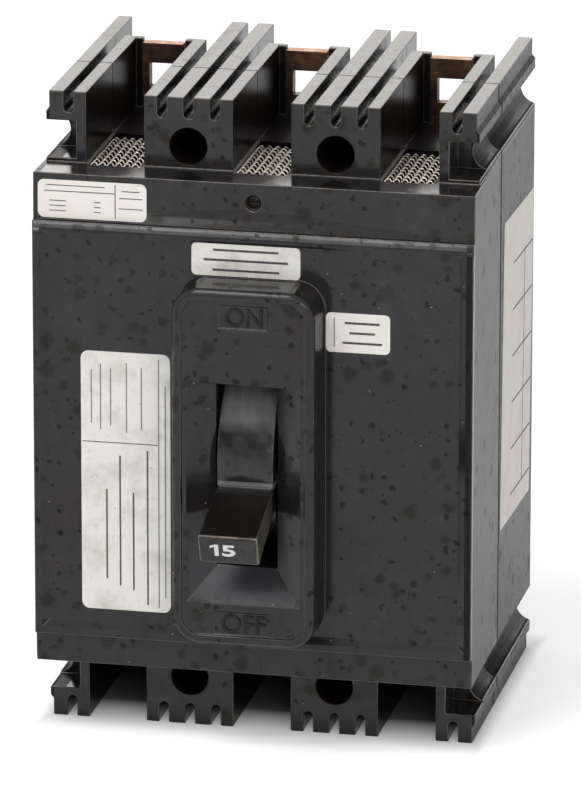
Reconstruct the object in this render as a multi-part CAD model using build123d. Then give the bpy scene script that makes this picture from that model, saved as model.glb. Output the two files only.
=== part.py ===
from build123d import *

import os
from math import atan2, cos, degrees, hypot, radians, sin

# Three-pole moulded-case circuit breaker with a toggle handle, 100 A frame size.
# X runs across the poles, Y runs into the panel that carries the breaker, Z is up (line end on top).
# The origin is the middle of the rear mounting face, so the front of the breaker lies at negative Y.
# It stands as photographed: tripped, with the handle a little below the middle of its travel.

# Overall sizes of the moulded case
BASE_WIDTH = 102.9
SIDE_RELIEF = 0.9375
FRONT_FLARE = 0.85
POLE_COUNT = 3
HEIGHT = 153.7
BODY_HEIGHT = 119.6
BASE_DEPTH = 44.3
BAND_DEPTH = 82.0
BLOCK_DEPTH = 72.0
WALL = 3.0
REAR_WALL = 4.0
INTERPOLE_WALL = 3.0

# Fits between pieces
FIT = 0.05
PIN_FIT = 0.04
SLIDE = 0.2
SEAT_GAP = 0.3

# Front panel of the cover
PANEL_RISE = 1.5
TOP_BAND = 11.15
BOTTOM_BAND = 7.15
PANEL_RIM = 1.7
PANEL_BEVEL = 1.7
PANEL_RECESS = 1.0

# Raised boss around the handle
BOSS_WIDTH = 34.0
BOSS_TOP = 37.15
BOSS_BOTTOM = -49.25
BOSS_RISE = 11.6
BOSS_RADIUS = 6.5
BOSS_EDGE = 1.6
BOSS_RIM = 2.4
BOSS_RECESS = 0.55
BOSS_FOOT = 0.25
BOSS_WALL = 2.6
PLAQUE_HEIGHT = 5.6
PLAQUE_RECESS = 0.25
ON_PLAQUE_WIDTH = 11.6
OFF_PLAQUE_WIDTH = 14.2
ON_PLAQUE_Z = 30.7
OFF_PLAQUE_Z = -43.9

# Handle well: a funnel that narrows to the slot
WELL_WIDTH = 28.7
WELL_TOP = 14.45
WELL_BOTTOM = -40.25
WELL_DEPTH = 5.0
SLOT_WIDTH = 14.4
SLOT_BOTTOM = -30.85
WELL_LIP = 2.5
APRON_GAP = 1.2
APRON_THICKNESS = 1.5
APRON_SETBACK = 3.0

# Terminal blocks at both ends, with ribs, slots, pockets and mounting bores
POCKET_WIDTH = 13.825
SLOT_GAP = 2.26
SLOT_STEP = 6.31
SLOT_DEPTH = 5.1
OUTER_INSET = 0.75
OUTER_INSET_HEIGHT = 5.0
OUTER_BEVEL = 1.0
REAR_POCKET_DEPTH = 18.0
REAR_POCKET_HALF = 12.3
LIP_THICKNESS = 2.0
POCKET_STEP = 1.0
SIDE_POCKET_HEIGHT = 9.95
SIDE_POCKET_WIDTH = 7.2
SIDE_POCKET_LENGTH = 10.0
MOUNT_PITCH_Z = 130.2
MOUNT_HEAD_BORE = 8.8
MOUNT_BORE = 4.8
MOUNT_SEAT = 30.0

# Gas vents behind the top shelf
VENT_WIDTH = 12.4
VENT_LENGTH = 23.6
VENT_THICKNESS = 0.8
VENT_LEDGE = 1.0
VENT_GROOVE_DEPTH = 2.0
VENT_BAR = 0.9
VENT_COLUMNS = 4
VENT_ROWS = 6

# Terminal straps and contacts
STRAP_WIDTH = 9.8
STRAP_THICKNESS = 2.7
STRAP_FRONT = 21.0
STRAP_INSET = 0.8
TAB_STEP = 0.3
STRAP_HOLE_WIDTH = 6.5
STRAP_HOLE_HEIGHT = 6.0
STRAP_HOLE_DROP = 8.6
LINE_STRAP_END = 31.0
LOAD_STRAP_END = -33.5
LINE_SCREW_Z = 47.5
LOAD_SCREW_Z = -38.6
STRAP_SCREW_RADIUS = 1.75
STRAP_SCREW_HEAD = 3.2
STRAP_SCREW_HEAD_HEIGHT = 2.0
STRAP_SCREW_LENGTH = 12.0
CONTACT_HEIGHT = 38.0
CONTACT_SIZE = 7.0
CONTACT_THICKNESS = 1.8
CONTACT_GAP = 0.15

# Crossbar and contact arms, drawn closed and then turned open
CROSSBAR_DEPTH = 25.0
CROSSBAR_SIZE = 14.0
CROSSBAR_WALL_GAP = 0.525
JOURNAL_RADIUS = 4.5
JOURNAL_END = 1.5
OPEN_ANGLE = 20.0
ARM_HALF = 3.0
ARM_THICKNESS = 3.0
ARM_PIVOT_OFFSET = 3.0
ARM_HUB = 4.0
ARM_REACH = 42.0
ARM_PIN_RADIUS = 1.5
ARM_PIN_HALF = 8.0
ARM_TAIL = 11.2
ARM_TAIL_RADIUS = 2.0
ARM_TAIL_ANGLE = 12.0
ARM_HEEL = 6.5
ARM_SLOT_SIDE = 0.35
SPRING_SEAT_WEB = 5.2
CONTACT_SPRING_RADIUS = 1.4
CONTACT_SPRING_Z = -5.1
CONTACT_SPRING_GAP = 0.6

# Toggle linkage, worked out so that its angles follow the handle in nearly constant ratios
HANDLE_PIVOT_DEPTH = 68.5
HANDLE_PIVOT_Z = -6.85
HANDLE_ANGLE = -18.7
TOGGLE_ANCHOR_DEPTH = 62.3
TOGGLE_ANCHOR_Z = -2.83
CRANK_Y = -3.27
CRANK_Z = 10.58
UPPER_LINK_LENGTH = 22.38
LOWER_LINK_LENGTH = 16.51
LINK_THICKNESS = 1.0
LINK_RADIUS = 2.6
LINK_PIN_RADIUS = 1.2
UPPER_LINK_X = 3.8
LOWER_LINK_X = 5.1
OPEN_PIVOT_PLAY = 0.7
EAR_X = 3.7
EAR_THICKNESS = 1.1
EAR_RADIUS = 2.8

# Handle, its yoke and the operating springs
DRUM_RADIUS = 22.5
DRUM_THICKNESS = 2.5
DRUM_HALF = 6.67
DRUM_SPAN = 210.0
KNOB_REACH = 43.0
KNOB_TIP_HEIGHT = 7.5
KNOB_ROOT_HEIGHT = 6.4
KNOB_TIP_WIDTH = 14.0
KNOB_EDGE = 0.5
CHEEK_INNER_RADIUS = 9.5
CHEEK_SPAN = 56.0
CHEEK_X = 4.4
SPRING_PIN_REACH = 13.0
SPRING_PIN_RADIUS = 1.2
SPRING_PIN_COLLAR = 2.2
YOKE_X = 8.5
YOKE_THICKNESS = 1.0
YOKE_RADIUS = 3.2
PIVOT_STUB_RADIUS = 1.8
SPRING_X = 1.9
SPRING_RADIUS = 1.5
SPRING_TURNS = 5
SPRING_EYE = 1.9
SPRING_WIRE = 0.8
SPRING_SLACK = 2.1
SPRING_STRETCH = 0.65
SPRING_PLAY = 0.45

# Mechanism frame and cradle
FRAME_X = 9.8
FRAME_THICKNESS = 1.5
FRAME_FOOT = 3.6
FRAME_FOOT_THICKNESS = 1.5
FRAME_FOOT_Z = 23.0
FRAME_FOOT_LENGTH = 11.0
FRAME_ARCH = 13.0
FRAME_MARGIN = 5.0
FRAME_SCREW_RADIUS = 1.3
FRAME_SCREW_HEAD = 1.7
FRAME_SCREW_HEAD_HEIGHT = 1.2
CRADLE_X = 7.0
CRADLE_THICKNESS = 1.2
CRADLE_PIVOT_DEPTH = 46.0
CRADLE_PIVOT_Z = 24.0
CRADLE_PIN_RADIUS = 1.5
CRADLE_HALF_WIDTH = 3.4
CRADLE_NOSE_DEPTH = 50.0
CRADLE_NOSE_Z = -35.2
CRADLE_NOSE_RADIUS = 1.3

# Trip unit
TRIP_BAR_DEPTH = 63.0
TRIP_BAR_Z = -47.5
TRIP_BAR_RADIUS = 3.0
TRIP_FINGER_REACH = 8.0
TRIP_FINGER_THICKNESS = 1.4
TRIP_FINGER_HALF = 7.0
LATCH_HALF = 5.0
LATCH_THICKNESS = 2.5
LATCH_WIDTH = 3.0
BIMETAL_Z = -46.0
BIMETAL_THICKNESS = 1.2
BIMETAL_HALF = 5.0
BIMETAL_FOOT = 8.0
BIMETAL_BAR_GAP = 6.5
YOKE_LEG_X = 5.6
YOKE_LEG_THICKNESS = 1.4
MAGNET_REAR = 28.0
MAGNET_FRONT = 43.0
MAGNET_BACK_Z = -51.0
MAGNET_POLE_Z = -40.4
MAGNET_EAR_RADIUS = 2.2
MAGNET_NECK_DEPTH = 1.0
ARMATURE_PIVOT_DEPTH = 26.2
ARMATURE_Z = -38.2
ARMATURE_THICKNESS = 1.2
ARMATURE_HALF = 7.0
ARMATURE_PIN_RADIUS = 1.0
ARMATURE_HUB = 1.9
ARMATURE_REACH = 58.2
ARMATURE_TIP_Z = -44.4
ARMATURE_WINDOW_HALF = 5.6
ARMATURE_WINDOW_REAR = 42.5
CALIBRATION_SCREW_INSET = 2.9
CALIBRATION_SCREW_RADIUS = 1.0
CALIBRATION_HEAD_RADIUS = 1.8
CALIBRATION_HEAD_HEIGHT = 1.0
BRAID_X = 3.35
BRAID_THICKNESS = 1.5
BRAID_WIDTH = 3.6
BRAID_EDGE = 0.6

# Arc chutes
CHUTE_SIDE_X = 7.0
CHUTE_SIDE_THICKNESS = 1.1
CHUTE_BOTTOM = 36.0
CHUTE_COLUMN_GAP = 0.4
CHUTE_FRONT = 60.0
ARC_PLATE_THICKNESS = 1.5
ARC_PLATE_FIRST = 29.5
ARC_PLATE_PITCH = 4.6
ARC_PLATES = 7
ARC_PLATE_BOTTOM = 38.0
ARC_PLATE_MARGIN = 1.5
ARC_NOTCH_HALF = 4.0
ARC_NOTCH_DEPTH = 7.5

# Screws that hold the cover
COVER_SCREW_INSET = 4.45
COVER_SCREW_Z = 53.3
COVER_SCREW_RADIUS = 1.6
COVER_SCREW_HEAD_RADIUS = 2.9
COVER_SCREW_HEAD_HEIGHT = 2.0
COVER_SCREW_RECESS = 2.6
COVER_SCREW_GRIP = 10.0
SCREW_COLUMN_RADIUS = 3.4
FRONT_SCREW_Z = 55.15
FRONT_SCREW_RADIUS = 1.45
FRONT_SCREW_RIM = 1.95
FRONT_SCREW_RIM_DEPTH = 0.4
FRONT_SCREW_SINK = 2.5
DRIVE_SLOT = 0.8
DRIVE_DEPTH = 0.6

# Number of straight steps that stand for the span of a ring sector's cutting outline
SECTOR_STEPS = 6

# The poles and the lines between neighbouring breakers share one pitch, and the case clears those lines
POLE_PITCH = (BASE_WIDTH + 2 * SIDE_RELIEF) / POLE_COUNT
EDGE_LINE = POLE_COUNT * POLE_PITCH / 2
COVER_WIDTH = BASE_WIDTH + 2 * FRONT_FLARE
BLOCK_WIDTH = POLE_PITCH - POCKET_WIDTH

# Places worked out from the sizes above
POLES = {"left": -POLE_PITCH, "centre": 0.0, "right": POLE_PITCH}
SEAM_Y = -BASE_DEPTH
BAND_Y = -BAND_DEPTH
PANEL_Y = BAND_Y - PANEL_RISE
BOSS_Y = BAND_Y - BOSS_RISE
BODY_TOP = BODY_HEIGHT / 2
BLOCK_TOP = HEIGHT / 2
INNER_TOP = BODY_TOP - WALL
COVER_INNER_Y = BAND_Y + WALL
COVER_SCREW_X = BASE_WIDTH / 2 - COVER_SCREW_INSET
CROSSBAR_HALF = BASE_WIDTH / 2 - WALL - POLE_PITCH - CROSSBAR_WALL_GAP
CHUTE_TOP = COVER_SCREW_Z - SCREW_COLUMN_RADIUS - CHUTE_COLUMN_GAP
ARC_PLATE_TOP = CHUTE_TOP - ARC_PLATE_MARGIN
BIMETAL_REACH = TRIP_BAR_DEPTH - BIMETAL_BAR_GAP
CALIBRATION_SCREW_DEPTH = BIMETAL_REACH - CALIBRATION_SCREW_INSET
STRAP_FRONT_Y = -STRAP_FRONT
STRAP_REAR_Y = STRAP_FRONT_Y + STRAP_THICKNESS
CROSSBAR = (-CROSSBAR_DEPTH, 0.0)
HANDLE_PIVOT = (-HANDLE_PIVOT_DEPTH, HANDLE_PIVOT_Z)
TOGGLE_ANCHOR = (-TOGGLE_ANCHOR_DEPTH, TOGGLE_ANCHOR_Z)
CRADLE_PIVOT = (-CRADLE_PIVOT_DEPTH, CRADLE_PIVOT_Z)
CRADLE_NOSE = (-CRADLE_NOSE_DEPTH, CRADLE_NOSE_Z)
TRIP_BAR = (-TRIP_BAR_DEPTH, TRIP_BAR_Z)
ARMATURE_PIVOT = (-ARMATURE_PIVOT_DEPTH, ARMATURE_Z)


def turned(point, angle, centre=(0.0, 0.0)):
    """Turn a (y, z) point about a centre, positive from +Y towards +Z."""
    y, z = point[0] - centre[0], point[1] - centre[1]
    c, s = cos(radians(angle)), sin(radians(angle))
    return centre[0] + y * c - z * s, centre[1] + y * s + z * c


def polar(centre, reach, angle):
    """The (y, z) point at a reach from a centre, at an angle above the forward direction."""
    return centre[0] - reach * cos(radians(angle)), centre[1] + reach * sin(radians(angle))


def meeting_point(start, end, first, second):
    """Where two links from start and end meet, on the lower side of the line between them."""
    dy, dz = end[0] - start[0], end[1] - start[1]
    span = hypot(dy, dz)
    along = (first ** 2 - second ** 2 + span ** 2) / (2 * span)
    aside = (first ** 2 - along ** 2) ** 0.5
    return start[0] + (along * dy + aside * dz) / span, start[1] + (along * dz - aside * dy) / span


CRANK_PIN = turned((CRANK_Y, CRANK_Z), OPEN_ANGLE)
CRANK_PIN = (CRANK_PIN[0] + CROSSBAR[0], CRANK_PIN[1] + CROSSBAR[1])
TOGGLE_PIN = meeting_point(TOGGLE_ANCHOR, CRANK_PIN, UPPER_LINK_LENGTH, LOWER_LINK_LENGTH)
SPRING_PIN = polar(HANDLE_PIVOT, SPRING_PIN_REACH, HANDLE_ANGLE)


def block(x, y, z):
    """Box between two limits on each axis."""
    low = (min(x), min(y), min(z))
    size = (abs(x[1] - x[0]), abs(y[1] - y[0]), abs(z[1] - z[0]))
    return Pos(*low) * Box(*size, align=(Align.MIN, Align.MIN, Align.MIN))


def rod_x(point, radius, x0, x1):
    """Cylinder along X through a (y, z) point."""
    place = Pos((x0 + x1) / 2, point[0], point[1]) * Rot(0, 90, 0)
    return place * Cylinder(radius, abs(x1 - x0))


def rod_y(x, z, radius, y0, y1):
    """Cylinder along Y through an (x, z) point."""
    return Pos(x, (y0 + y1) / 2, z) * Rot(90, 0, 0) * Cylinder(radius, abs(y1 - y0))


def rod_z(x, y, radius, z0, z1):
    """Cylinder along Z through an (x, y) point."""
    return Pos(x, y, (z0 + z1) / 2) * Cylinder(radius, abs(z1 - z0))


def front_plane(y):
    """Plane that faces the front at a depth, with its axes along X and Z."""
    return Plane((0, y, 0), x_dir=(1, 0, 0), z_dir=(0, -1, 0))


def side_plate(outline, x0, x1):
    """Plate with a flat (y, z) outline, from x0 to x1."""
    return extrude(Plane.YZ.offset(min(x0, x1)) * outline, amount=abs(x1 - x0))


def outline(*points):
    """Closed flat outline through straight-line corners."""
    return make_face(Polyline(*points, close=True))


def link_outline(start, end, radius):
    """Flat link with round ends about two (y, z) points."""
    dy, dz = end[0] - start[0], end[1] - start[1]
    middle = Pos((start[0] + end[0]) / 2, (start[1] + end[1]) / 2)
    return middle * Rot(0, 0, degrees(atan2(dz, dy))) * SlotCenterToCenter(hypot(dy, dz), 2 * radius)


def disc(point, radius):
    """Flat disc about a (y, z) point."""
    return Pos(*point) * Circle(radius)


def both_sides(solid):
    """A solid and its mirror image in the middle plane of the centre pole."""
    return [solid, mirror(solid, about=Plane.YZ)]


def both_ends(solid):
    """A solid and its mirror image at the other end of the breaker."""
    return [solid, mirror(solid, about=Plane.XY)]


def save(name, *solids):
    """Write one node to its STEP file."""
    node = solids[0] if len(solids) == 1 else Compound(children=list(solids))
    export_step(node, os.path.join("parts", name + ".step"))


def pole_cavities(half_width, y, z):
    """The three pole chambers, between the side walls and the walls that part the poles."""
    wall = INTERPOLE_WALL / 2
    edge = POLE_PITCH / 2
    inside = half_width - WALL
    return [
        block((-inside, -edge - wall), y, z),
        block((-edge + wall, edge - wall), y, z),
        block((edge + wall, inside), y, z),
    ]


def end_blocks(half_width, y):
    """Solid terminal blocks above the body, before their slots are cut."""
    z = (BODY_TOP, BLOCK_TOP)
    half = BLOCK_WIDTH / 2
    outer = EDGE_LINE - half
    inner = [block((x - half, x + half), y, z) for x in (-POLE_PITCH / 2, POLE_PITCH / 2)]
    side = block((outer, half_width), y, z)
    shoulder = block((outer, half_width - OUTER_INSET), y, z)
    lower = block((outer, half_width), y, (BODY_TOP, BLOCK_TOP - OUTER_INSET_HEIGHT))
    bevel = side_bevel(half_width, y)
    side = side & (shoulder + lower + bevel)
    return inner + both_sides(side)


def side_bevel(half_width, y):
    """Sloping step between the narrow top and the full width of an outer block."""
    z = BLOCK_TOP - OUTER_INSET_HEIGHT
    x = half_width - OUTER_INSET
    face = make_face(Polyline((x, z), (half_width, z), (x, z + OUTER_BEVEL), close=True))
    return extrude(front_plane(y[1]) * face, amount=y[1] - y[0])


def top_slots(y):
    """Round-bottomed slots that run front to back along the tops of the blocks."""
    radius = SLOT_GAP / 2
    floor = BLOCK_TOP - SLOT_DEPTH
    places = [side * POLE_PITCH / 2 + step for side in (-1, 1) for step in (-SLOT_STEP, 0, SLOT_STEP)]
    places += [side * (EDGE_LINE - SLOT_STEP) for side in (-1, 1)]
    cuts = []
    for x in places:
        cuts.append(block((x - radius, x + radius), y, (floor + radius, BLOCK_TOP + 1)))
        cuts.append(rod_y(x, floor + radius, radius, *y))
    return cuts


def mount_bores(radius, y):
    """Bores between the poles for the mounting screws, at one end."""
    return [rod_y(x, MOUNT_PITCH_Z / 2, radius, *y) for x in (-POLE_PITCH / 2, POLE_PITCH / 2)]


def side_features(half_width, front):
    """Part of the bore on each edge line, shared with a neighbour, and the pocket at its front."""
    groove = rod_y(EDGE_LINE, MOUNT_PITCH_Z / 2, MOUNT_HEAD_BORE / 2, front, 1)
    cuts = [groove]
    if front < -BASE_DEPTH:
        z = (BODY_TOP + POCKET_STEP, BODY_TOP + SIDE_POCKET_HEIGHT)
        x = (half_width - SIDE_POCKET_WIDTH, half_width + 1)
        cuts.append(block(x, (-BLOCK_DEPTH - 1, -BLOCK_DEPTH + SIDE_POCKET_LENGTH), z))
    return [piece for cut in cuts for piece in both_sides(cut)]


def at_both_ends(solids):
    """Solids and their mirror images at the other end, in one list."""
    return [piece for solid in solids for piece in both_ends(solid)]


def cover_screw_places():
    """The (x, z) places of the screws that hold the cover, one in each corner."""
    return [(x, z) for x in (-COVER_SCREW_X, COVER_SCREW_X) for z in (-COVER_SCREW_Z, COVER_SCREW_Z)]


def make_base():
    """Rear half of the case: open boxes for the three poles, seats, bearings and the mounting bores."""
    half = BASE_WIDTH / 2
    depth = (SEAM_Y, 0)
    body = block((-half, half), depth, (-BODY_TOP, BODY_TOP))
    body = body - pole_cavities(half, (SEAM_Y - 1, -REAR_WALL), (-INNER_TOP, INNER_TOP))
    body = body + at_both_ends(end_blocks(half, depth))
    body = body - at_both_ends(top_slots((SEAM_Y - 1, 1)))
    body = body - at_both_ends(side_features(half, SEAM_Y - 1))

    # behind the terminals the pockets widen and leave two lips beside each strap
    cuts, lips = [], []
    pocket_half = POCKET_WIDTH / 2
    for x in POLES.values():
        cuts.append(block((x - REAR_POCKET_HALF, x + REAR_POCKET_HALF), (-REAR_POCKET_DEPTH, 1),
                          (BODY_TOP, BLOCK_TOP + 1)))
        for side in (-1, 1):
            lips.append(block((x + side * (STRAP_WIDTH / 2 + SLIDE), x + side * (pocket_half + 1)),
                              (-REAR_POCKET_DEPTH - LIP_THICKNESS, -REAR_POCKET_DEPTH),
                              (BODY_TOP, BLOCK_TOP)))
    body = body - at_both_ends(cuts) + at_both_ends(lips)

    # mounting screws pass between the poles, with their heads deep in the case
    body = body - at_both_ends(mount_bores(MOUNT_HEAD_BORE / 2, (SEAM_Y - 1, -MOUNT_SEAT)))
    body = body - at_both_ends(mount_bores(MOUNT_BORE / 2, (-MOUNT_SEAT - 1, 1)))

    # seats and passages for the straps
    seats, passages = [], []
    for x in POLES.values():
        width = (x - STRAP_WIDTH / 2, x + STRAP_WIDTH / 2)
        seats.append(block(width, (STRAP_REAR_Y, -REAR_WALL), (LINE_STRAP_END, INNER_TOP)))
        seats.append(block(width, (STRAP_REAR_Y, -REAR_WALL), (-INNER_TOP, LOAD_STRAP_END)))
        seats.append(block((x - YOKE_LEG_X, x + YOKE_LEG_X), (-MAGNET_FRONT, -MAGNET_REAR),
                           (-INNER_TOP, MAGNET_BACK_Z)))
        passage = block((x - STRAP_WIDTH / 2 - FIT, x + STRAP_WIDTH / 2 + FIT),
                        (STRAP_FRONT_Y - FIT, STRAP_REAR_Y + FIT), (INNER_TOP - 1, BODY_TOP + 1))
        passages += both_ends(passage)
        for z in (LINE_SCREW_Z, LOAD_SCREW_Z):
            passages.append(rod_y(x, z, STRAP_SCREW_RADIUS + FIT,
                                  STRAP_REAR_Y - 1, STRAP_FRONT_Y + STRAP_SCREW_LENGTH + FIT))
    body = body + seats - passages

    # bearings for the crossbar: slots in the inner walls and blind slots in the side walls
    radius = JOURNAL_RADIUS + FIT
    reach = half - WALL + JOURNAL_END + FIT
    body = body - rod_x(CROSSBAR, radius, -reach, reach)
    body = body - block((-reach, reach), (SEAM_Y - 1, CROSSBAR[0]),
                        (CROSSBAR[1] - radius, CROSSBAR[1] + radius))

    # columns and bores for the screws that hold the cover, and bores for the frame screws
    for x, z in cover_screw_places():
        body = body + rod_y(x, z, SCREW_COLUMN_RADIUS, SEAM_Y, -REAR_WALL)
        body = body - rod_y(x, z, COVER_SCREW_RADIUS + FIT, SEAM_Y - 1, 1)
        body = body - rod_y(x, z, COVER_SCREW_HEAD_RADIUS + SLIDE, -COVER_SCREW_RECESS, 1)
    body = body + rod_y(0, FRONT_SCREW_Z, SCREW_COLUMN_RADIUS, SEAM_Y, STRAP_FRONT_Y)
    body = body - rod_y(0, FRONT_SCREW_Z, FRONT_SCREW_RADIUS + FIT, SEAM_Y - 1, STRAP_FRONT_Y - WALL)
    for x, z in frame_screw_places():
        body = body - rod_y(x, z, FRAME_SCREW_RADIUS + FIT, -REAR_WALL - 1, -1)
    return body


def make_cover():
    """Front half of the case: bands, framed panel, handle boss with its well, and the end blocks."""
    half = BASE_WIDTH / 2
    front_half = COVER_WIDTH / 2
    panel_top = BODY_TOP - TOP_BAND
    panel_bottom = -BODY_TOP + BOTTOM_BAND
    shell = make_face(Polyline((-front_half, BAND_Y), (front_half, BAND_Y), (half, SEAM_Y), (-half, SEAM_Y),
                               close=True))
    body = extrude(Plane.XY.offset(-BODY_TOP) * shell, amount=BODY_HEIGHT)
    body = body + block((-front_half, front_half), (PANEL_Y, BAND_Y), (panel_bottom, panel_top))
    body = body - panel_recess(front_half, panel_bottom, panel_top)
    body = body + make_boss()
    body = body - pole_cavities(half, (COVER_INNER_Y, SEAM_Y + 1), (-INNER_TOP, INNER_TOP))
    body = body - boss_cavity() + slot_apron()
    body = body - handle_well()

    # end blocks, their slots and side pockets
    depth = (-BLOCK_DEPTH, SEAM_Y)
    body = body + at_both_ends(end_blocks(half, depth))
    body = body - at_both_ends(top_slots((-BLOCK_DEPTH - 1, SEAM_Y + 1)))
    body = body - at_both_ends(side_features(half, -BLOCK_DEPTH + SIDE_POCKET_LENGTH - 1))
    body = body - at_both_ends(mount_bores(MOUNT_HEAD_BORE / 2, (-BLOCK_DEPTH - 1, SEAM_Y + 1)))

    # gas vents through the top wall, with a ledge for each screen and a groove behind it to the seam
    front = -BLOCK_DEPTH - VENT_LEDGE
    for x in POLES.values():
        width = (x - VENT_WIDTH / 2 - FIT, x + VENT_WIDTH / 2 + FIT)
        length = (front - FIT, front + VENT_LENGTH + FIT)
        body = body - block(width, length, (BODY_TOP - VENT_THICKNESS, BODY_TOP + 1))
        body = body - block((width[0] + VENT_LEDGE, width[1] - VENT_LEDGE),
                            (length[0] + VENT_LEDGE, length[1] - VENT_LEDGE), (INNER_TOP - 1, BODY_TOP))
        body = body - block(width, (length[1] - FIT, SEAM_Y + 1),
                            (BODY_TOP - VENT_GROOVE_DEPTH, BODY_TOP + 1))

    # slots in the inner walls for the trip bar
    radius = TRIP_BAR_RADIUS + SLIDE
    inside = half - WALL
    body = body - rod_x(TRIP_BAR, radius, -inside, inside)
    body = body - block((-inside, inside), (TRIP_BAR[0], SEAM_Y + 1),
                        (TRIP_BAR[1] - radius, TRIP_BAR[1] + radius))

    # tongues that reach into the base and close the crossbar bearings
    tongue = JOURNAL_RADIUS - SLIDE
    wall = (POLE_PITCH / 2 - INTERPOLE_WALL / 2, POLE_PITCH / 2 + INTERPOLE_WALL / 2)
    end = (BASE_WIDTH / 2 - WALL, BASE_WIDTH / 2 - WALL + JOURNAL_END)
    for x in (wall, end):
        tongue_y = (SEAM_Y - WALL, CROSSBAR[0] - JOURNAL_RADIUS - SEAT_GAP)
        body = body + both_sides(block(x, tongue_y, (CROSSBAR[1] - tongue, CROSSBAR[1] + tongue)))

    # columns for the screws from the rear, and the bore for the screw in the top band
    for x, z in cover_screw_places():
        body = body + rod_y(x, z, SCREW_COLUMN_RADIUS, COVER_INNER_Y, SEAM_Y)
        body = body - rod_y(x, z, COVER_SCREW_RADIUS + FIT, SEAM_Y - COVER_SCREW_GRIP - 1, SEAM_Y + 1)
    body = body + rod_y(0, FRONT_SCREW_Z, SCREW_COLUMN_RADIUS, COVER_INNER_Y, SEAM_Y)
    body = body - rod_y(0, FRONT_SCREW_Z, FRONT_SCREW_RADIUS + FIT, BAND_Y - 1, SEAM_Y + 1)
    body = body - rod_y(0, FRONT_SCREW_Z, FRONT_SCREW_RIM, BAND_Y - 1, BAND_Y + FRONT_SCREW_RIM_DEPTH)
    return body


def panel_recess(half, bottom, top):
    """Shallow recess of the front panel, with sloping sides inside its rim."""
    width = 2 * (half - PANEL_RIM)
    height = top - bottom - 2 * PANEL_RIM
    middle = Pos(0, (top + bottom) / 2)
    mouth = front_plane(PANEL_Y) * middle * Rectangle(width, height)
    floor = front_plane(PANEL_Y + PANEL_RECESS) * middle * Rectangle(width - 2 * PANEL_BEVEL,
                                                                     height - 2 * PANEL_BEVEL)
    return loft([mouth, floor])


def make_boss():
    """Raised boss with a rounded front edge, a rim round its sunk face and a foot on the panel."""
    height = BOSS_TOP - BOSS_BOTTOM
    middle = Pos(0, (BOSS_TOP + BOSS_BOTTOM) / 2)
    shape = middle * RectangleRounded(BOSS_WIDTH, height, BOSS_RADIUS)
    boss = extrude(front_plane(BAND_Y + WALL) * shape, amount=BOSS_RISE + WALL)
    boss = fillet(boss.faces().sort_by(Axis.Y)[0].edges(), BOSS_EDGE)
    foot = middle * RectangleRounded(BOSS_WIDTH + 2 * BOSS_FOOT, height + 2 * BOSS_FOOT,
                                     BOSS_RADIUS + BOSS_FOOT)
    boss = boss + extrude(front_plane(BAND_Y) * foot, amount=PANEL_RISE - PANEL_RECESS + BOSS_FOOT)
    sunk = middle * RectangleRounded(BOSS_WIDTH - 2 * BOSS_RIM, height - 2 * BOSS_RIM,
                                     BOSS_RADIUS - BOSS_RIM)
    boss = boss - extrude(front_plane(BOSS_Y + BOSS_RECESS) * sunk, amount=BOSS_RECESS + 1)
    for width, z in ((ON_PLAQUE_WIDTH, ON_PLAQUE_Z), (OFF_PLAQUE_WIDTH, OFF_PLAQUE_Z)):
        boss = boss - block((-width / 2, width / 2), (BOSS_Y - 1, BOSS_Y + BOSS_RECESS + PLAQUE_RECESS),
                            (z - PLAQUE_HEIGHT / 2, z + PLAQUE_HEIGHT / 2))
    return boss


def boss_cavity():
    """Hollow inside the boss, behind the lip of the handle slot."""
    half = BOSS_WIDTH / 2 - BOSS_WALL
    return block((-half, half), (BOSS_Y + WELL_DEPTH + WELL_LIP, COVER_INNER_Y + 1),
                 (BOSS_BOTTOM + BOSS_WALL, BOSS_TOP - BOSS_WALL))


def slot_apron():
    """Shelf behind the lower edge of the slot, close under the shield of the handle."""
    half = BOSS_WIDTH / 2 - BOSS_WALL
    bottom = HANDLE_PIVOT[1] - DRUM_RADIUS - APRON_GAP - APRON_THICKNESS
    return block((-half, half), (BOSS_Y + WELL_DEPTH, HANDLE_PIVOT[0] - APRON_SETBACK),
                 (bottom, bottom + APRON_THICKNESS))


def handle_well():
    """Funnel with sloping sides and a ramp at the bottom, and the slot that the handle moves in."""
    middle = (WELL_TOP + WELL_BOTTOM) / 2
    mouth = front_plane(BOSS_Y) * Pos(0, middle) * Rectangle(WELL_WIDTH, WELL_TOP - WELL_BOTTOM)
    throat = front_plane(BOSS_Y + WELL_DEPTH) * Pos(0, (WELL_TOP + SLOT_BOTTOM) / 2) * Rectangle(
        SLOT_WIDTH, WELL_TOP - SLOT_BOTTOM)
    slot = block((-SLOT_WIDTH / 2, SLOT_WIDTH / 2), (BOSS_Y - 1, BOSS_Y + WELL_DEPTH + WELL_LIP + 1),
                 (SLOT_BOTTOM, WELL_TOP))
    return [loft([mouth, throat]), slot]


def make_vent_screen(x):
    """Stiff screen of crossing bars over the gas vent of one pole."""
    front = -BLOCK_DEPTH - VENT_LEDGE
    z = (BODY_TOP - VENT_THICKNESS, BODY_TOP)
    screen = block((x - VENT_WIDTH / 2, x + VENT_WIDTH / 2), (front, front + VENT_LENGTH), z)
    hole_x = (VENT_WIDTH - VENT_BAR) / VENT_COLUMNS - VENT_BAR
    hole_y = (VENT_LENGTH - VENT_BAR) / VENT_ROWS - VENT_BAR
    holes = []
    for column in range(VENT_COLUMNS):
        left = x - VENT_WIDTH / 2 + VENT_BAR + column * (hole_x + VENT_BAR)
        for row in range(VENT_ROWS):
            near = front + VENT_BAR + row * (hole_y + VENT_BAR)
            holes.append(block((left, left + hole_x), (near, near + hole_y), (z[0] - 1, z[1] + 1)))
    return screen - holes


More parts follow.
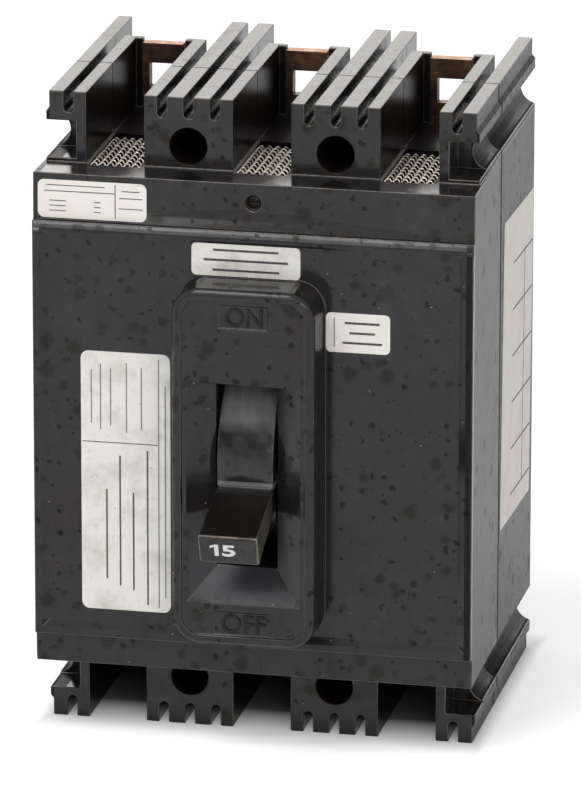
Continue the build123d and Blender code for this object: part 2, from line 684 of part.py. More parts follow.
def make_strap(x, outer, inner, screw_z):
    """Terminal strap of one pole: a raised outer tab with a square hole, and a screw hole inside."""
    end = 1 if outer > 0 else -1
    width = (x - STRAP_WIDTH / 2, x + STRAP_WIDTH / 2)
    tab_front = STRAP_FRONT_Y - TAB_STEP
    strap = block(width, (STRAP_FRONT_Y, STRAP_REAR_Y), (inner, outer))
    strap = strap + block(width, (tab_front, STRAP_REAR_Y), (end * (BODY_TOP + FIT), outer))
    hole_z = end * (BLOCK_TOP - STRAP_HOLE_DROP)
    strap = strap - block((x - STRAP_HOLE_WIDTH / 2, x + STRAP_HOLE_WIDTH / 2),
                          (tab_front - 1, STRAP_REAR_Y + 1),
                          (hole_z - STRAP_HOLE_HEIGHT / 2, hole_z + STRAP_HOLE_HEIGHT / 2))
    return strap - rod_y(x, screw_z, STRAP_SCREW_RADIUS + FIT, STRAP_FRONT_Y - 1, STRAP_REAR_Y + 1)


def slotted_screw(x, z, head_y, direction, sizes):
    """Slotted screw along Y: its head starts at head_y and its shank runs in the given direction."""
    radius, head, head_height, length = sizes
    body = rod_y(x, z, head, head_y, head_y + direction * head_height)
    body = body + rod_y(x, z, radius, head_y, head_y + direction * (head_height + length))
    slot = block((x - head, x + head), (head_y - direction, head_y + direction * DRIVE_DEPTH),
                 (z - DRIVE_SLOT / 2, z + DRIVE_SLOT / 2))
    return body - slot


def make_strap_screws():
    """Screws through the line and load straps of each pole."""
    sizes = (STRAP_SCREW_RADIUS, STRAP_SCREW_HEAD, STRAP_SCREW_HEAD_HEIGHT, STRAP_SCREW_LENGTH)
    head_y = STRAP_FRONT_Y - STRAP_SCREW_HEAD_HEIGHT
    places = [(x, z) for x in POLES.values() for z in (LINE_SCREW_Z, LOAD_SCREW_Z)]
    return [slotted_screw(x, z, head_y, 1, sizes) for x, z in places]


def make_fixed_contacts():
    """Silver pads on the line straps."""
    half = CONTACT_SIZE / 2
    y = (STRAP_FRONT_Y - CONTACT_THICKNESS, STRAP_FRONT_Y)
    z = (CONTACT_HEIGHT - half, CONTACT_HEIGHT + half)
    return [block((x - half, x + half), y, z) for x in POLES.values()]


def make_moving_contact(x):
    """Silver pad on the tip of a contact arm, drawn closed and turned open."""
    rear = STRAP_FRONT_Y - CONTACT_THICKNESS - CONTACT_GAP
    half = CONTACT_SIZE / 2 - SLIDE
    pad = block((x - half, x + half), (rear - CONTACT_THICKNESS, rear),
                (CONTACT_HEIGHT - half, CONTACT_HEIGHT + half))
    return opened(pad)


def opened(solid):
    """Turn a solid about the crossbar from the closed to the open position."""
    return Pos(0, *CROSSBAR) * Rot(OPEN_ANGLE, 0, 0) * Pos(0, -CROSSBAR[0], -CROSSBAR[1]) * solid


def make_contact_arm(x):
    """Contact arm of one pole: hub on its pin, arm up to the contact, tail for the braid, spring heel."""
    pivot = (CROSSBAR[0] - ARM_PIVOT_OFFSET, CROSSBAR[1])
    rear = STRAP_FRONT_Y - 2 * CONTACT_THICKNESS - CONTACT_GAP
    front = rear - ARM_THICKNESS
    upright = outline((front, pivot[1]), (rear, pivot[1]), (rear, CROSSBAR[1] + ARM_REACH),
                      (front + ARM_THICKNESS / 2, CROSSBAR[1] + ARM_REACH),
                      (front, CROSSBAR[1] + ARM_REACH - ARM_THICKNESS / 2))
    tail_end = polar(CROSSBAR, ARM_TAIL - ARM_TAIL_RADIUS, OPEN_ANGLE - ARM_TAIL_ANGLE)
    heel = outline((pivot[0] - ARM_TAIL_RADIUS, pivot[1]), (pivot[0] + ARM_TAIL_RADIUS, pivot[1]),
                   (pivot[0] + ARM_TAIL_RADIUS, -ARM_HEEL), (pivot[0] - ARM_TAIL_RADIUS, -ARM_HEEL))
    shape = disc(pivot, ARM_HUB) + upright + link_outline(pivot, tail_end, ARM_TAIL_RADIUS) + heel
    shape = shape - disc(pivot, ARM_PIN_RADIUS + PIN_FIT)
    return opened(side_plate(shape, x - ARM_HALF, x + ARM_HALF))


def make_crossbar():
    """Moulded bar across the poles: square blocks with a slot for each arm, journals and two ears."""
    half = CROSSBAR_SIZE / 2
    web = CROSSBAR[0] + half - SPRING_SEAT_WEB
    slot = ARM_HALF + ARM_SLOT_SIDE
    braid_slot = BRAID_X + BRAID_THICKNESS + SLIDE
    end = BASE_WIDTH / 2 - WALL + JOURNAL_END
    bar = rod_x(CROSSBAR, JOURNAL_RADIUS, -end, end)
    section = Pos(*CROSSBAR) * RectangleRounded(CROSSBAR_SIZE, CROSSBAR_SIZE, ARM_TAIL_RADIUS)
    for x in POLES.values():
        bar = bar + side_plate(section, x - CROSSBAR_HALF, x + CROSSBAR_HALF)
    for x in POLES.values():
        bar = bar - block((x - slot, x + slot), (CROSSBAR[0] - half - 1, web),
                          (CROSSBAR[1] - half - 1, CROSSBAR[1] + half + 1))
        bar = bar - block((x - braid_slot, x + braid_slot),
                          (CROSSBAR[0] - half - 1, CROSSBAR[0] - ARM_PIVOT_OFFSET - ARM_PIN_RADIUS - FIT),
                          (CROSSBAR[1] - half - 1, CROSSBAR[1] + half + 1))
    crank = (CROSSBAR[0] + CRANK_Y, CROSSBAR[1] + CRANK_Z)
    for side in (-1, 1):
        bar = bar - block((side * (LOWER_LINK_X - SLIDE), side * (LOWER_LINK_X + LINK_THICKNESS + SLIDE)),
                          (CROSSBAR[0] - half - 1, crank[0] + LINK_RADIUS),
                          (CROSSBAR[1] + LINK_PIN_RADIUS, CROSSBAR[1] + half + 1))
    root = (crank[0] + LINK_PIN_RADIUS, CROSSBAR[1] + half - EAR_RADIUS)
    ear = link_outline(crank, root, EAR_RADIUS) - disc(crank, LINK_PIN_RADIUS + PIN_FIT)
    for plate in both_sides(side_plate(ear, EAR_X, EAR_X + EAR_THICKNESS)):
        bar = bar + plate
    for x in POLES.values():
        bar = bar - rod_x((CROSSBAR[0] - ARM_PIVOT_OFFSET, CROSSBAR[1]), ARM_PIN_RADIUS + PIN_FIT,
                          x - ARM_PIN_HALF - SLIDE, x + ARM_PIN_HALF + SLIDE)
    return opened(bar)


def make_arm_pins():
    """Pins that the contact arms turn on, drawn closed and turned open."""
    pivot = (CROSSBAR[0] - ARM_PIVOT_OFFSET, CROSSBAR[1])
    pins = [rod_x(pivot, ARM_PIN_RADIUS, x - ARM_PIN_HALF, x + ARM_PIN_HALF) for x in POLES.values()]
    return [opened(pin) for pin in pins]


def make_contact_springs():
    """Short coil springs between the bar and the heels of the arms."""
    web = CROSSBAR[0] + CROSSBAR_SIZE / 2 - SPRING_SEAT_WEB
    heel = CROSSBAR[0] - ARM_PIVOT_OFFSET + ARM_TAIL_RADIUS
    near = heel + CONTACT_SPRING_GAP
    return [opened(rod_y(x, CONTACT_SPRING_Z, CONTACT_SPRING_RADIUS, near, web)) for x in POLES.values()]


def make_handle():
    """Moulded handle: knob, curved shield that closes the slot, and two cheeks for the spring pin."""
    shield = ring_sector(HANDLE_PIVOT, DRUM_RADIUS - DRUM_THICKNESS, DRUM_RADIUS, HANDLE_ANGLE, DRUM_SPAN)
    body = side_plate(shield, -DRUM_HALF, DRUM_HALF)
    cheek = ring_sector(HANDLE_PIVOT, CHEEK_INNER_RADIUS, DRUM_RADIUS - DRUM_THICKNESS / 2,
                        HANDLE_ANGLE, CHEEK_SPAN)
    cheek = cheek - disc(SPRING_PIN, SPRING_PIN_RADIUS + PIN_FIT)
    for plate in both_sides(side_plate(cheek, CHEEK_X, DRUM_HALF)):
        body = body + plate
    return body + make_knob()


def ring_sector(centre, inner, outer, angle, span):
    """Flat (y, z) ring sector about a centre, with its middle at an angle above the forward direction."""
    far = 4 * outer
    ring = disc(centre, outer) - disc(centre, inner)
    turns = [angle - span / 2 + span * step / SECTOR_STEPS for step in range(SECTOR_STEPS + 1)]
    return ring & outline(centre, *[polar(centre, far, turn) for turn in turns])


def make_knob():
    """Finger grip that widens a little towards its tip, with softened edges."""
    axis = Plane((0, *HANDLE_PIVOT), x_dir=(1, 0, 0),
                 z_dir=(0, -cos(radians(HANDLE_ANGLE)), sin(radians(HANDLE_ANGLE))))
    root = axis.offset(DRUM_RADIUS - DRUM_THICKNESS / 2) * Rectangle(2 * DRUM_HALF, KNOB_ROOT_HEIGHT)
    tip = axis.offset(KNOB_REACH) * Rectangle(KNOB_TIP_WIDTH, KNOB_TIP_HEIGHT)
    knob = loft([root, tip])
    root_edges = knob.faces().sort_by(axis_of(axis))[0].edges()
    return fillet([edge for edge in knob.edges() if edge not in root_edges], KNOB_EDGE)


def axis_of(plane):
    """The axis through the origin of a plane, along its normal."""
    return Axis(plane.origin, plane.z_dir)


def make_handle_yoke():
    """Two steel levers that carry the handle between its pivots and the spring pin."""
    shape = link_outline(HANDLE_PIVOT, SPRING_PIN, YOKE_RADIUS)
    shape = shape - disc(HANDLE_PIVOT, PIVOT_STUB_RADIUS + PIN_FIT)
    shape = shape - disc(SPRING_PIN, SPRING_PIN_RADIUS + PIN_FIT)
    return both_sides(side_plate(shape, YOKE_X, YOKE_X + YOKE_THICKNESS))


def make_spring_pin():
    """Pin through the levers and the handle, with a collar on each side that spaces them."""
    end = YOKE_X + YOKE_THICKNESS
    pin = rod_x(SPRING_PIN, SPRING_PIN_RADIUS, -end, end)
    for side in (-1, 1):
        pin = pin + rod_x(SPRING_PIN, SPRING_PIN_COLLAR, side * DRUM_HALF, side * YOKE_X)
    return pin


def make_pivot_pins():
    """Stub pins in the frame plates, one each side, that the handle levers turn on."""
    stub = rod_x(HANDLE_PIVOT, PIVOT_STUB_RADIUS, YOKE_X - PIN_FIT, FRAME_X + FRAME_THICKNESS)
    return both_sides(stub)


def frame_screw_places():
    """The (x, z) places of the screws in the feet of the mechanism frame."""
    x = FRAME_X + FRAME_THICKNESS + FRAME_FOOT / 2
    return [(side * x, end * FRAME_FOOT_Z) for side in (-1, 1) for end in (-1, 1)]


def make_mechanism_frame():
    """Two steel side plates on feet, with the bearings of the handle, the cradle and the trip bar."""
    top = FRAME_FOOT_Z + FRAME_FOOT_LENGTH / 2
    rear = -REAR_WALL
    rim = FRAME_MARGIN
    corners = [
        (rear, top),
        (rear, -top),
        (TRIP_BAR[0] + 2 * rim, TRIP_BAR[1] + rim),
        (TRIP_BAR[0] + rim, TRIP_BAR[1] - rim / 2),
        (TRIP_BAR[0] - rim, TRIP_BAR[1] - rim / 2),
        (HANDLE_PIVOT[0] - rim, HANDLE_PIVOT[1] - rim),
        (HANDLE_PIVOT[0] - rim, HANDLE_PIVOT[1] + rim),
        (CRADLE_PIVOT[0] - rim, CRADLE_PIVOT[1] + rim),
        (CRADLE_PIVOT[0] + rim, CRADLE_PIVOT[1] + rim),
    ]
    shape = outline(*corners)
    shape = shape - disc(CROSSBAR, FRAME_ARCH)
    shape = shape - outline((CROSSBAR[0], FRAME_ARCH), (1, FRAME_ARCH), (1, -FRAME_ARCH),
                            (CROSSBAR[0], -FRAME_ARCH))
    for point, radius in ((HANDLE_PIVOT, PIVOT_STUB_RADIUS), (CRADLE_PIVOT, CRADLE_PIN_RADIUS),
                          (TRIP_BAR, TRIP_BAR_RADIUS)):
        shape = shape - disc(point, radius + PIN_FIT)
    plate = side_plate(shape, FRAME_X, FRAME_X + FRAME_THICKNESS)
    outer = FRAME_X + FRAME_THICKNESS
    for end in (-1, 1):
        z = (end * (FRAME_FOOT_Z - FRAME_FOOT_LENGTH / 2), end * (FRAME_FOOT_Z + FRAME_FOOT_LENGTH / 2))
        plate = plate + block((FRAME_X, outer + FRAME_FOOT), (rear - FRAME_FOOT_THICKNESS, rear), z)
    for x, z in frame_screw_places():
        plate = plate - rod_y(x, z, FRAME_SCREW_RADIUS + FIT, rear - FRAME_FOOT_THICKNESS - 1, rear + 1)
    return both_sides(plate)


def make_frame_screws():
    """Screws through the feet of the mechanism frame."""
    sizes = (FRAME_SCREW_RADIUS, FRAME_SCREW_HEAD, FRAME_SCREW_HEAD_HEIGHT, REAR_WALL)
    head_y = -REAR_WALL - FRAME_FOOT_THICKNESS - FRAME_SCREW_HEAD_HEIGHT
    return [slotted_screw(x, z, head_y, 1, sizes) for x, z in frame_screw_places()]


def make_cradle():
    """Latched lever: two plates on the cradle pin, joined at the nose, with open seats for the link pin."""
    elbow = (TOGGLE_ANCHOR[0] - CRADLE_HALF_WIDTH, TOGGLE_ANCHOR[1])
    shape = link_outline(CRADLE_PIVOT, elbow, CRADLE_HALF_WIDTH)
    shape = shape + link_outline(elbow, CRADLE_NOSE, CRADLE_NOSE_RADIUS * 2)
    shape = shape - disc(CRADLE_PIVOT, CRADLE_PIN_RADIUS + PIN_FIT)
    seat_mouth = (TOGGLE_ANCHOR[0] + 3 * LINK_RADIUS, TOGGLE_ANCHOR[1] - LINK_RADIUS)
    shape = shape - link_outline(TOGGLE_ANCHOR, seat_mouth, LINK_PIN_RADIUS + SLIDE)
    end = CRADLE_X + CRADLE_THICKNESS
    return rod_x(CRADLE_NOSE, CRADLE_NOSE_RADIUS, -end, end) + both_sides(side_plate(shape, CRADLE_X, end))


def make_cradle_pin():
    """Pin across the frame plates that the cradle turns on."""
    end = FRAME_X + FRAME_THICKNESS
    return rod_x(CRADLE_PIVOT, CRADLE_PIN_RADIUS, -end, end)


def make_upper_link():
    """Pair of links from the cradle seat to the toggle pin."""
    shape = link_outline(TOGGLE_ANCHOR, TOGGLE_PIN, LINK_RADIUS)
    for point in (TOGGLE_ANCHOR, TOGGLE_PIN):
        shape = shape - disc(point, LINK_PIN_RADIUS + PIN_FIT)
    return both_sides(side_plate(shape, UPPER_LINK_X, UPPER_LINK_X + LINK_THICKNESS))


def make_anchor_pins():
    """Stub pins that carry the upper links in the seats of the cradle."""
    return both_sides(rod_x(TOGGLE_ANCHOR, LINK_PIN_RADIUS, UPPER_LINK_X, CRADLE_X + CRADLE_THICKNESS))


def make_toggle_pin():
    """Pin of the toggle knee, which the operating springs pull on."""
    end = LOWER_LINK_X + LINK_THICKNESS
    return rod_x(TOGGLE_PIN, LINK_PIN_RADIUS, -end, end)


def make_lower_link():
    """Pair of links from the ears of the crossbar, with a wide eye round the toggle pin."""
    eye = LINK_PIN_RADIUS + OPEN_PIVOT_PLAY
    shape = link_outline(CRANK_PIN, TOGGLE_PIN, LINK_RADIUS) + disc(TOGGLE_PIN, eye + LINK_THICKNESS)
    shape = shape - disc(CRANK_PIN, LINK_PIN_RADIUS + PIN_FIT) - disc(TOGGLE_PIN, eye)
    return both_sides(side_plate(shape, LOWER_LINK_X, LOWER_LINK_X + LINK_THICKNESS))


def make_crank_pins():
    """Stub pins that carry the lower links on the ears of the crossbar."""
    return both_sides(rod_x(CRANK_PIN, LINK_PIN_RADIUS, EAR_X, LOWER_LINK_X + LINK_THICKNESS))


def make_operating_springs():
    """Two close-wound tension springs from the toggle pin to the spring pin, each with a long front eye."""
    dy, dz = SPRING_PIN[0] - TOGGLE_PIN[0], SPRING_PIN[1] - TOGGLE_PIN[1]
    span = hypot(dy, dz)
    start = SPRING_EYE
    end = span - SPRING_SLACK - LINK_PIN_RADIUS - SPRING_PLAY - SLIDE
    pitch = (end - start) / SPRING_TURNS
    inner = SPRING_RADIUS - SPRING_WIRE / 2
    profile = [(0, start), (inner, start)]
    for turn in range(SPRING_TURNS):
        profile.append((SPRING_RADIUS, start + (turn + 0.5) * pitch))
        profile.append((inner, start + (turn + 1) * pitch))
    profile.append((0, end))
    coil = revolve(Plane.XZ * make_face(Polyline(*profile, close=True)), axis=Axis.Z)
    spring = coil + spring_eye(Circle, 0, LINK_PIN_RADIUS + PIN_FIT)
    middle = span + (SPRING_STRETCH - SPRING_SLACK) / 2
    spring = spring + spring_eye(long_eye, middle, SPRING_PIN_RADIUS + SPRING_PLAY)
    frame = Plane((0, *TOGGLE_PIN), x_dir=(1, 0, 0), z_dir=(0, dy / span, dz / span))
    return [frame * Pos(x, 0, 0) * spring for x in (-SPRING_X, SPRING_X)]


def long_eye(radius):
    """Outline of a long eye, which leaves the spring pin its way along the spring."""
    return Rot(0, 0, 90) * SlotCenterToCenter(SPRING_STRETCH + SPRING_SLACK, 2 * radius)


def spring_eye(shape, reach, opening):
    """Flat eye of a spring in the plane of the linkage, centred at a reach along the spring."""
    ring = shape(opening + SPRING_WIRE) - shape(opening)
    return extrude(Plane.YZ.offset(-SPRING_WIRE / 2) * Pos(0, reach) * ring, amount=SPRING_WIRE)


def make_trip_bar():
    """Bar across the poles with a finger in each pole and the latch arm in the middle."""
    end = COVER_SCREW_X - SCREW_COLUMN_RADIUS - 2 * SLIDE
    bar = rod_x(TRIP_BAR, TRIP_BAR_RADIUS, -end, end)
    finger_top = BIMETAL_Z - BIMETAL_THICKNESS / 2 - 2 * SEAT_GAP
    for x in POLES.values():
        bar = bar + block((x - TRIP_FINGER_HALF, x + TRIP_FINGER_HALF),
                          (TRIP_BAR[0], TRIP_BAR[0] + TRIP_FINGER_REACH),
                          (finger_top - TRIP_FINGER_THICKNESS, finger_top))
    top = CRADLE_NOSE[1] - CRADLE_NOSE_RADIUS - SEAT_GAP
    tip = (CRADLE_NOSE[0] - CRADLE_NOSE_RADIUS - SEAT_GAP, top)
    latch = outline(TRIP_BAR, (TRIP_BAR[0] - TRIP_BAR_RADIUS, TRIP_BAR[1]),
                    (tip[0] - LATCH_WIDTH, top), tip, (tip[0], top - LATCH_THICKNESS))
    return bar + side_plate(latch, -LATCH_HALF, LATCH_HALF)


def make_trip_bar_spring():
    """Torsion spring round the trip bar beside the right frame plate."""
    inner = TRIP_BAR_RADIUS + SLIDE
    outer = inner + SPRING_WIRE
    x0 = FRAME_X + FRAME_THICKNESS + SLIDE
    x1 = x0 + 4 * SPRING_WIRE
    coil = rod_x(TRIP_BAR, outer, x0, x1) - rod_x(TRIP_BAR, inner, x0 - 1, x1 + 1)
    leg = block((x1 - SPRING_WIRE, x1), (TRIP_BAR[0] - outer, TRIP_BAR[0] - inner),
                (-INNER_TOP + SEAT_GAP, TRIP_BAR[1]))
    return coil + leg


def make_bimetal(x):
    """Bimetal of one pole: foot on the load strap and a long tongue towards the front."""
    z = (BIMETAL_Z - BIMETAL_THICKNESS / 2, BIMETAL_Z + BIMETAL_THICKNESS / 2)
    width = (x - BIMETAL_HALF, x + BIMETAL_HALF)
    strip = block(width, (-BIMETAL_REACH, STRAP_FRONT_Y), z)
    foot = block((x - STRAP_WIDTH / 2, x + STRAP_WIDTH / 2),
                 (STRAP_FRONT_Y - BIMETAL_THICKNESS, STRAP_FRONT_Y),
                 (BIMETAL_Z - BIMETAL_FOOT, BIMETAL_Z + BIMETAL_THICKNESS / 2))
    hole = rod_z(x, -CALIBRATION_SCREW_DEPTH, CALIBRATION_SCREW_RADIUS + PIN_FIT, z[0] - 1, z[1] + 1)
    return strip + foot - hole


def make_magnet_yoke(x):
    """U-shaped magnet round the bimetal, with ears at its rear for the armature pin."""
    low = outline((-MAGNET_FRONT, MAGNET_BACK_Z), (-MAGNET_REAR, MAGNET_BACK_Z),
                  (-MAGNET_REAR, MAGNET_POLE_Z), (-MAGNET_FRONT, MAGNET_POLE_Z))
    neck_root = MAGNET_POLE_Z - MAGNET_NECK_DEPTH
    neck = outline((-MAGNET_REAR - 2 * MAGNET_EAR_RADIUS, neck_root), (-MAGNET_REAR, neck_root),
                   (ARMATURE_PIVOT[0] + MAGNET_EAR_RADIUS, ARMATURE_PIVOT[1]),
                   (ARMATURE_PIVOT[0] - MAGNET_EAR_RADIUS, ARMATURE_PIVOT[1]))
    leg = low + neck + disc(ARMATURE_PIVOT, MAGNET_EAR_RADIUS)
    leg = leg - disc(ARMATURE_PIVOT, ARMATURE_PIN_RADIUS + PIN_FIT)
    outer = YOKE_LEG_X + YOKE_LEG_THICKNESS
    body = block((x - outer, x + outer), (-MAGNET_FRONT, -MAGNET_REAR),
                 (MAGNET_BACK_Z, MAGNET_BACK_Z + YOKE_LEG_THICKNESS))
    for side in (-1, 1):
        body = body + side_plate(leg, x + side * YOKE_LEG_X, x + side * outer)
    return body


def make_armature(x):
    """Armature of one pole: fork round the braid and the latch, with a hinge hub and two bent tips."""
    top = ARMATURE_Z + ARMATURE_THICKNESS / 2
    bottom = ARMATURE_Z - ARMATURE_THICKNESS / 2
    rear = ARMATURE_PIVOT[0] - 2 * MAGNET_EAR_RADIUS
    hub_half = YOKE_LEG_X - SLIDE
    plate = block((x - ARMATURE_HALF, x + ARMATURE_HALF), (-ARMATURE_REACH, rear), (bottom, top))
    plate = plate + block((x - hub_half, x + hub_half), (rear, ARMATURE_PIVOT[0]), (bottom, top))
    plate = plate + rod_x(ARMATURE_PIVOT, ARMATURE_HUB, x - hub_half, x + hub_half)
    plate = plate - rod_x(ARMATURE_PIVOT, ARMATURE_PIN_RADIUS + PIN_FIT, x - hub_half - 1, x + hub_half + 1)
    plate = plate - block((x - ARMATURE_WINDOW_HALF, x + ARMATURE_WINDOW_HALF),
                          (-ARMATURE_REACH - 1, -ARMATURE_WINDOW_REAR), (bottom - 1, top + 1))
    for side in (-1, 1):
        plate = plate + block((x + side * ARMATURE_WINDOW_HALF, x + side * ARMATURE_HALF),
                              (-ARMATURE_REACH, -ARMATURE_REACH + ARMATURE_THICKNESS),
                              (ARMATURE_TIP_Z, top))
    return plate


def make_armature_pins():
    """Hinge pins in the ears of the magnets."""
    half = YOKE_LEG_X + YOKE_LEG_THICKNESS
    return [rod_x(ARMATURE_PIVOT, ARMATURE_PIN_RADIUS, x - half, x + half) for x in POLES.values()]


def make_calibration_screws():
    """Small slotted screws through the tips of the bimetals, down to the fingers of the trip bar."""
    top = BIMETAL_Z + BIMETAL_THICKNESS / 2
    finger_top = BIMETAL_Z - BIMETAL_THICKNESS / 2 - 2 * SEAT_GAP
    y = -CALIBRATION_SCREW_DEPTH
    screws = []
    for x in POLES.values():
        screw = rod_z(x, y, CALIBRATION_SCREW_RADIUS, finger_top + SEAT_GAP / 2,
                      top + CALIBRATION_HEAD_HEIGHT)
        screw = screw + rod_z(x, y, CALIBRATION_HEAD_RADIUS, top, top + CALIBRATION_HEAD_HEIGHT)
        screws.append(screw - block((x - CALIBRATION_HEAD_RADIUS, x + CALIBRATION_HEAD_RADIUS),
                                    (y - DRIVE_SLOT / 4, y + DRIVE_SLOT / 4),
                                    (top + CALIBRATION_HEAD_HEIGHT / 2, top + 2 * CALIBRATION_HEAD_HEIGHT)))
    return screws


def make_braid(x):
    """Flat copper braid from the bimetal, through the fork of the armature, to the tail of the arm."""
    half = BRAID_WIDTH / 2
    rear = CROSSBAR[0] - ARM_TAIL + half - SLIDE
    front = -ARMATURE_WINDOW_REAR - BRAID_WIDTH
    start = BIMETAL_Z + BIMETAL_THICKNESS / 2
    bend = ARMATURE_Z + 4 * half
    corners = [
        (front - half, start),
        (front + half, start),
        (front + half, bend - half),
        (rear + half, bend + 3 * half),
        (rear + half, CROSSBAR[1]),
        (rear - half, CROSSBAR[1]),
        (rear - half, bend + 4 * half),
        (front - half, bend + half),
    ]
    shape = outline(*corners)
    ends = shape.vertices().group_by(Axis.X)
    shape = fillet(ends[0] + ends[-1], BRAID_EDGE)
    return side_plate(shape, x + BRAID_X, x + BRAID_X + BRAID_THICKNESS)


def make_arc_chute(x):
    """Two fibre side walls that stand on the rear wall and hold the arc plates."""
    walls = []
    for side in (-1, 1):
        inner = x + side * CHUTE_SIDE_X
        walls.append(block((inner, inner + side * CHUTE_SIDE_THICKNESS), (-CHUTE_FRONT, -REAR_WALL),
                           (CHUTE_BOTTOM, CHUTE_TOP)))
    return walls


def make_arc_plates(x):
    """Stack of steel plates with a notch that the contact arm swings through."""
    plates = []
    for number in range(ARC_PLATES):
        y = -ARC_PLATE_FIRST - number * ARC_PLATE_PITCH
        plate = block((x - CHUTE_SIDE_X, x + CHUTE_SIDE_X), (y, y + ARC_PLATE_THICKNESS),
                      (ARC_PLATE_BOTTOM, ARC_PLATE_TOP))
        notch = block((x - ARC_NOTCH_HALF, x + ARC_NOTCH_HALF), (y - 1, y + ARC_PLATE_THICKNESS + 1),
                      (ARC_PLATE_BOTTOM - 1, ARC_PLATE_BOTTOM + ARC_NOTCH_DEPTH))
        plates.append(plate - notch)
    return plates


def make_cover_screws():
    """Screws from the rear, one in each corner, that hold the cover to the base."""
    sizes = (COVER_SCREW_RADIUS, COVER_SCREW_HEAD_RADIUS, COVER_SCREW_HEAD_HEIGHT,
             BASE_DEPTH - COVER_SCREW_RECESS + COVER_SCREW_GRIP)
    head_y = -COVER_SCREW_RECESS + COVER_SCREW_HEAD_HEIGHT
    return [slotted_screw(x, z, head_y, -1, sizes) for x, z in cover_screw_places()]


def make_front_screw():
    """Long headless screw in the top band."""
    length = BAND_DEPTH - FRONT_SCREW_SINK - STRAP_FRONT - 2 * WALL
    sizes = (FRONT_SCREW_RADIUS, FRONT_SCREW_RADIUS, DRIVE_DEPTH, length)
    return slotted_screw(0, FRONT_SCREW_Z, BAND_Y + FRONT_SCREW_SINK, 1, sizes)


os.makedirs("parts", exist_ok=True)
save("base", make_base())
save("cover", make_cover())
save("cover_screws", *make_cover_screws())
save("front_screw", make_front_screw())
for pole, place in POLES.items():
    save("vent_screen_" + pole, make_vent_screen(place))
    save("line_terminal_" + pole, make_strap(place, BLOCK_TOP - STRAP_INSET, LINE_STRAP_END, LINE_SCREW_Z))
    save("load_terminal_" + pole, make_strap(place, -BLOCK_TOP + STRAP_INSET, LOAD_STRAP_END, LOAD_SCREW_Z))
    save("moving_contact_" + pole, make_moving_contact(place))
    save("contact_arm_" + pole, make_contact_arm(place))
    save("bimetal_" + pole, make_bimetal(place))
    save("magnet_yoke_" + pole, make_magnet_yoke(place))
    save("armature_" + pole, make_armature(place))
    save("braid_" + pole, make_braid(place))
    save("arc_chute_" + pole, *make_arc_chute(place))
    save("arc_plates_" + pole, *make_arc_plates(place))
save("strap_screws", *make_strap_screws())
save("fixed_contacts", *make_fixed_contacts())
save("crossbar", make_crossbar())
save("arm_pins", *make_arm_pins())
save("contact_springs", *make_contact_springs())
save("handle", make_handle())
save("handle_yoke", *make_handle_yoke())
save("spring_pin", make_spring_pin())
save("handle_pivots", *make_pivot_pins())
save("mechanism_frame", *make_mechanism_frame())
save("frame_screws", *make_frame_screws())
save("cradle", make_cradle())
save("cradle_pin", make_cradle_pin())
save("upper_link", *make_upper_link())
save("anchor_pins", *make_anchor_pins())
save("toggle_pin", make_toggle_pin())
save("lower_link", *make_lower_link())
save("crank_pins", *make_crank_pins())
save("operating_springs", *make_operating_springs())
save("trip_bar", make_trip_bar())
save("trip_bar_spring", make_trip_bar_spring())
save("armature_pins", *make_armature_pins())
save("calibration_screws", *make_calibration_screws())
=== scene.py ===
from math import cos, pi, radians, sin

import bmesh
import bpy
from mathutils import Matrix, Vector


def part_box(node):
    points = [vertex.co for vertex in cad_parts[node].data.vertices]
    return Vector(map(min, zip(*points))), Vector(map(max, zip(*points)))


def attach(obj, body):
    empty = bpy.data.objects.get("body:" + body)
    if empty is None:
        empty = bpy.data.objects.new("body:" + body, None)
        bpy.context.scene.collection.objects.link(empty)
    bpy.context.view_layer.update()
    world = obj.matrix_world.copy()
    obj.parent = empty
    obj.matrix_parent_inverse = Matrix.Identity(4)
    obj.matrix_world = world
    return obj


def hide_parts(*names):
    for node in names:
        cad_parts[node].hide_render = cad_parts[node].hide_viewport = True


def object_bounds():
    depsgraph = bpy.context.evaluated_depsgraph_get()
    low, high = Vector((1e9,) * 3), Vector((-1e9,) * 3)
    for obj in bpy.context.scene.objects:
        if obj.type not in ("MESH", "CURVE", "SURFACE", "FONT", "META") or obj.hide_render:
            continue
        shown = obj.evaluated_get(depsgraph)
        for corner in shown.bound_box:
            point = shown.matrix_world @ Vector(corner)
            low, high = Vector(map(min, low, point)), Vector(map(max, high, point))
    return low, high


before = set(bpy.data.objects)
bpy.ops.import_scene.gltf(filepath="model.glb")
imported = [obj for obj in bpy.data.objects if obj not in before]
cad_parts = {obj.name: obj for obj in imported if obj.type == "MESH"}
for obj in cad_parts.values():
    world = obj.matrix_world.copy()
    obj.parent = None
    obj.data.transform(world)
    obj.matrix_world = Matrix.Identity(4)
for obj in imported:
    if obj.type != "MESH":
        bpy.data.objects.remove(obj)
CAD_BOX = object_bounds()

# Circuit breaker standing on its lower end, seen from the front, a little from the right and from above.
# Places are in metres from the middle of the rear face: X to the right, Y to the back and Z up.
MM = 0.001
POLES = ("left", "centre", "right")
POLE_PITCH = 34.925 * MM

# Surfaces that labels and raised words lie on: front band, front panel, face of the handle boss, right side
BAND_Y = -82.0 * MM
PANEL_Y = -82.5 * MM
PLAQUE_Y = -92.8 * MM
SIDE_X = 51.45 * MM

# Seam between base and cover, the dirt on its edges, and the painted shade of its step beside it on the outer
# sides
SEAM_Y = -44.3 * MM
SEAM_HALF = 0.16 * MM
SEAM_EDGE_HALF = 0.30 * MM
SEAM_SHADE_FRONT = SEAM_Y - 0.7 * MM
SEAM_SHADE_BACK = SEAM_Y + 0.9 * MM

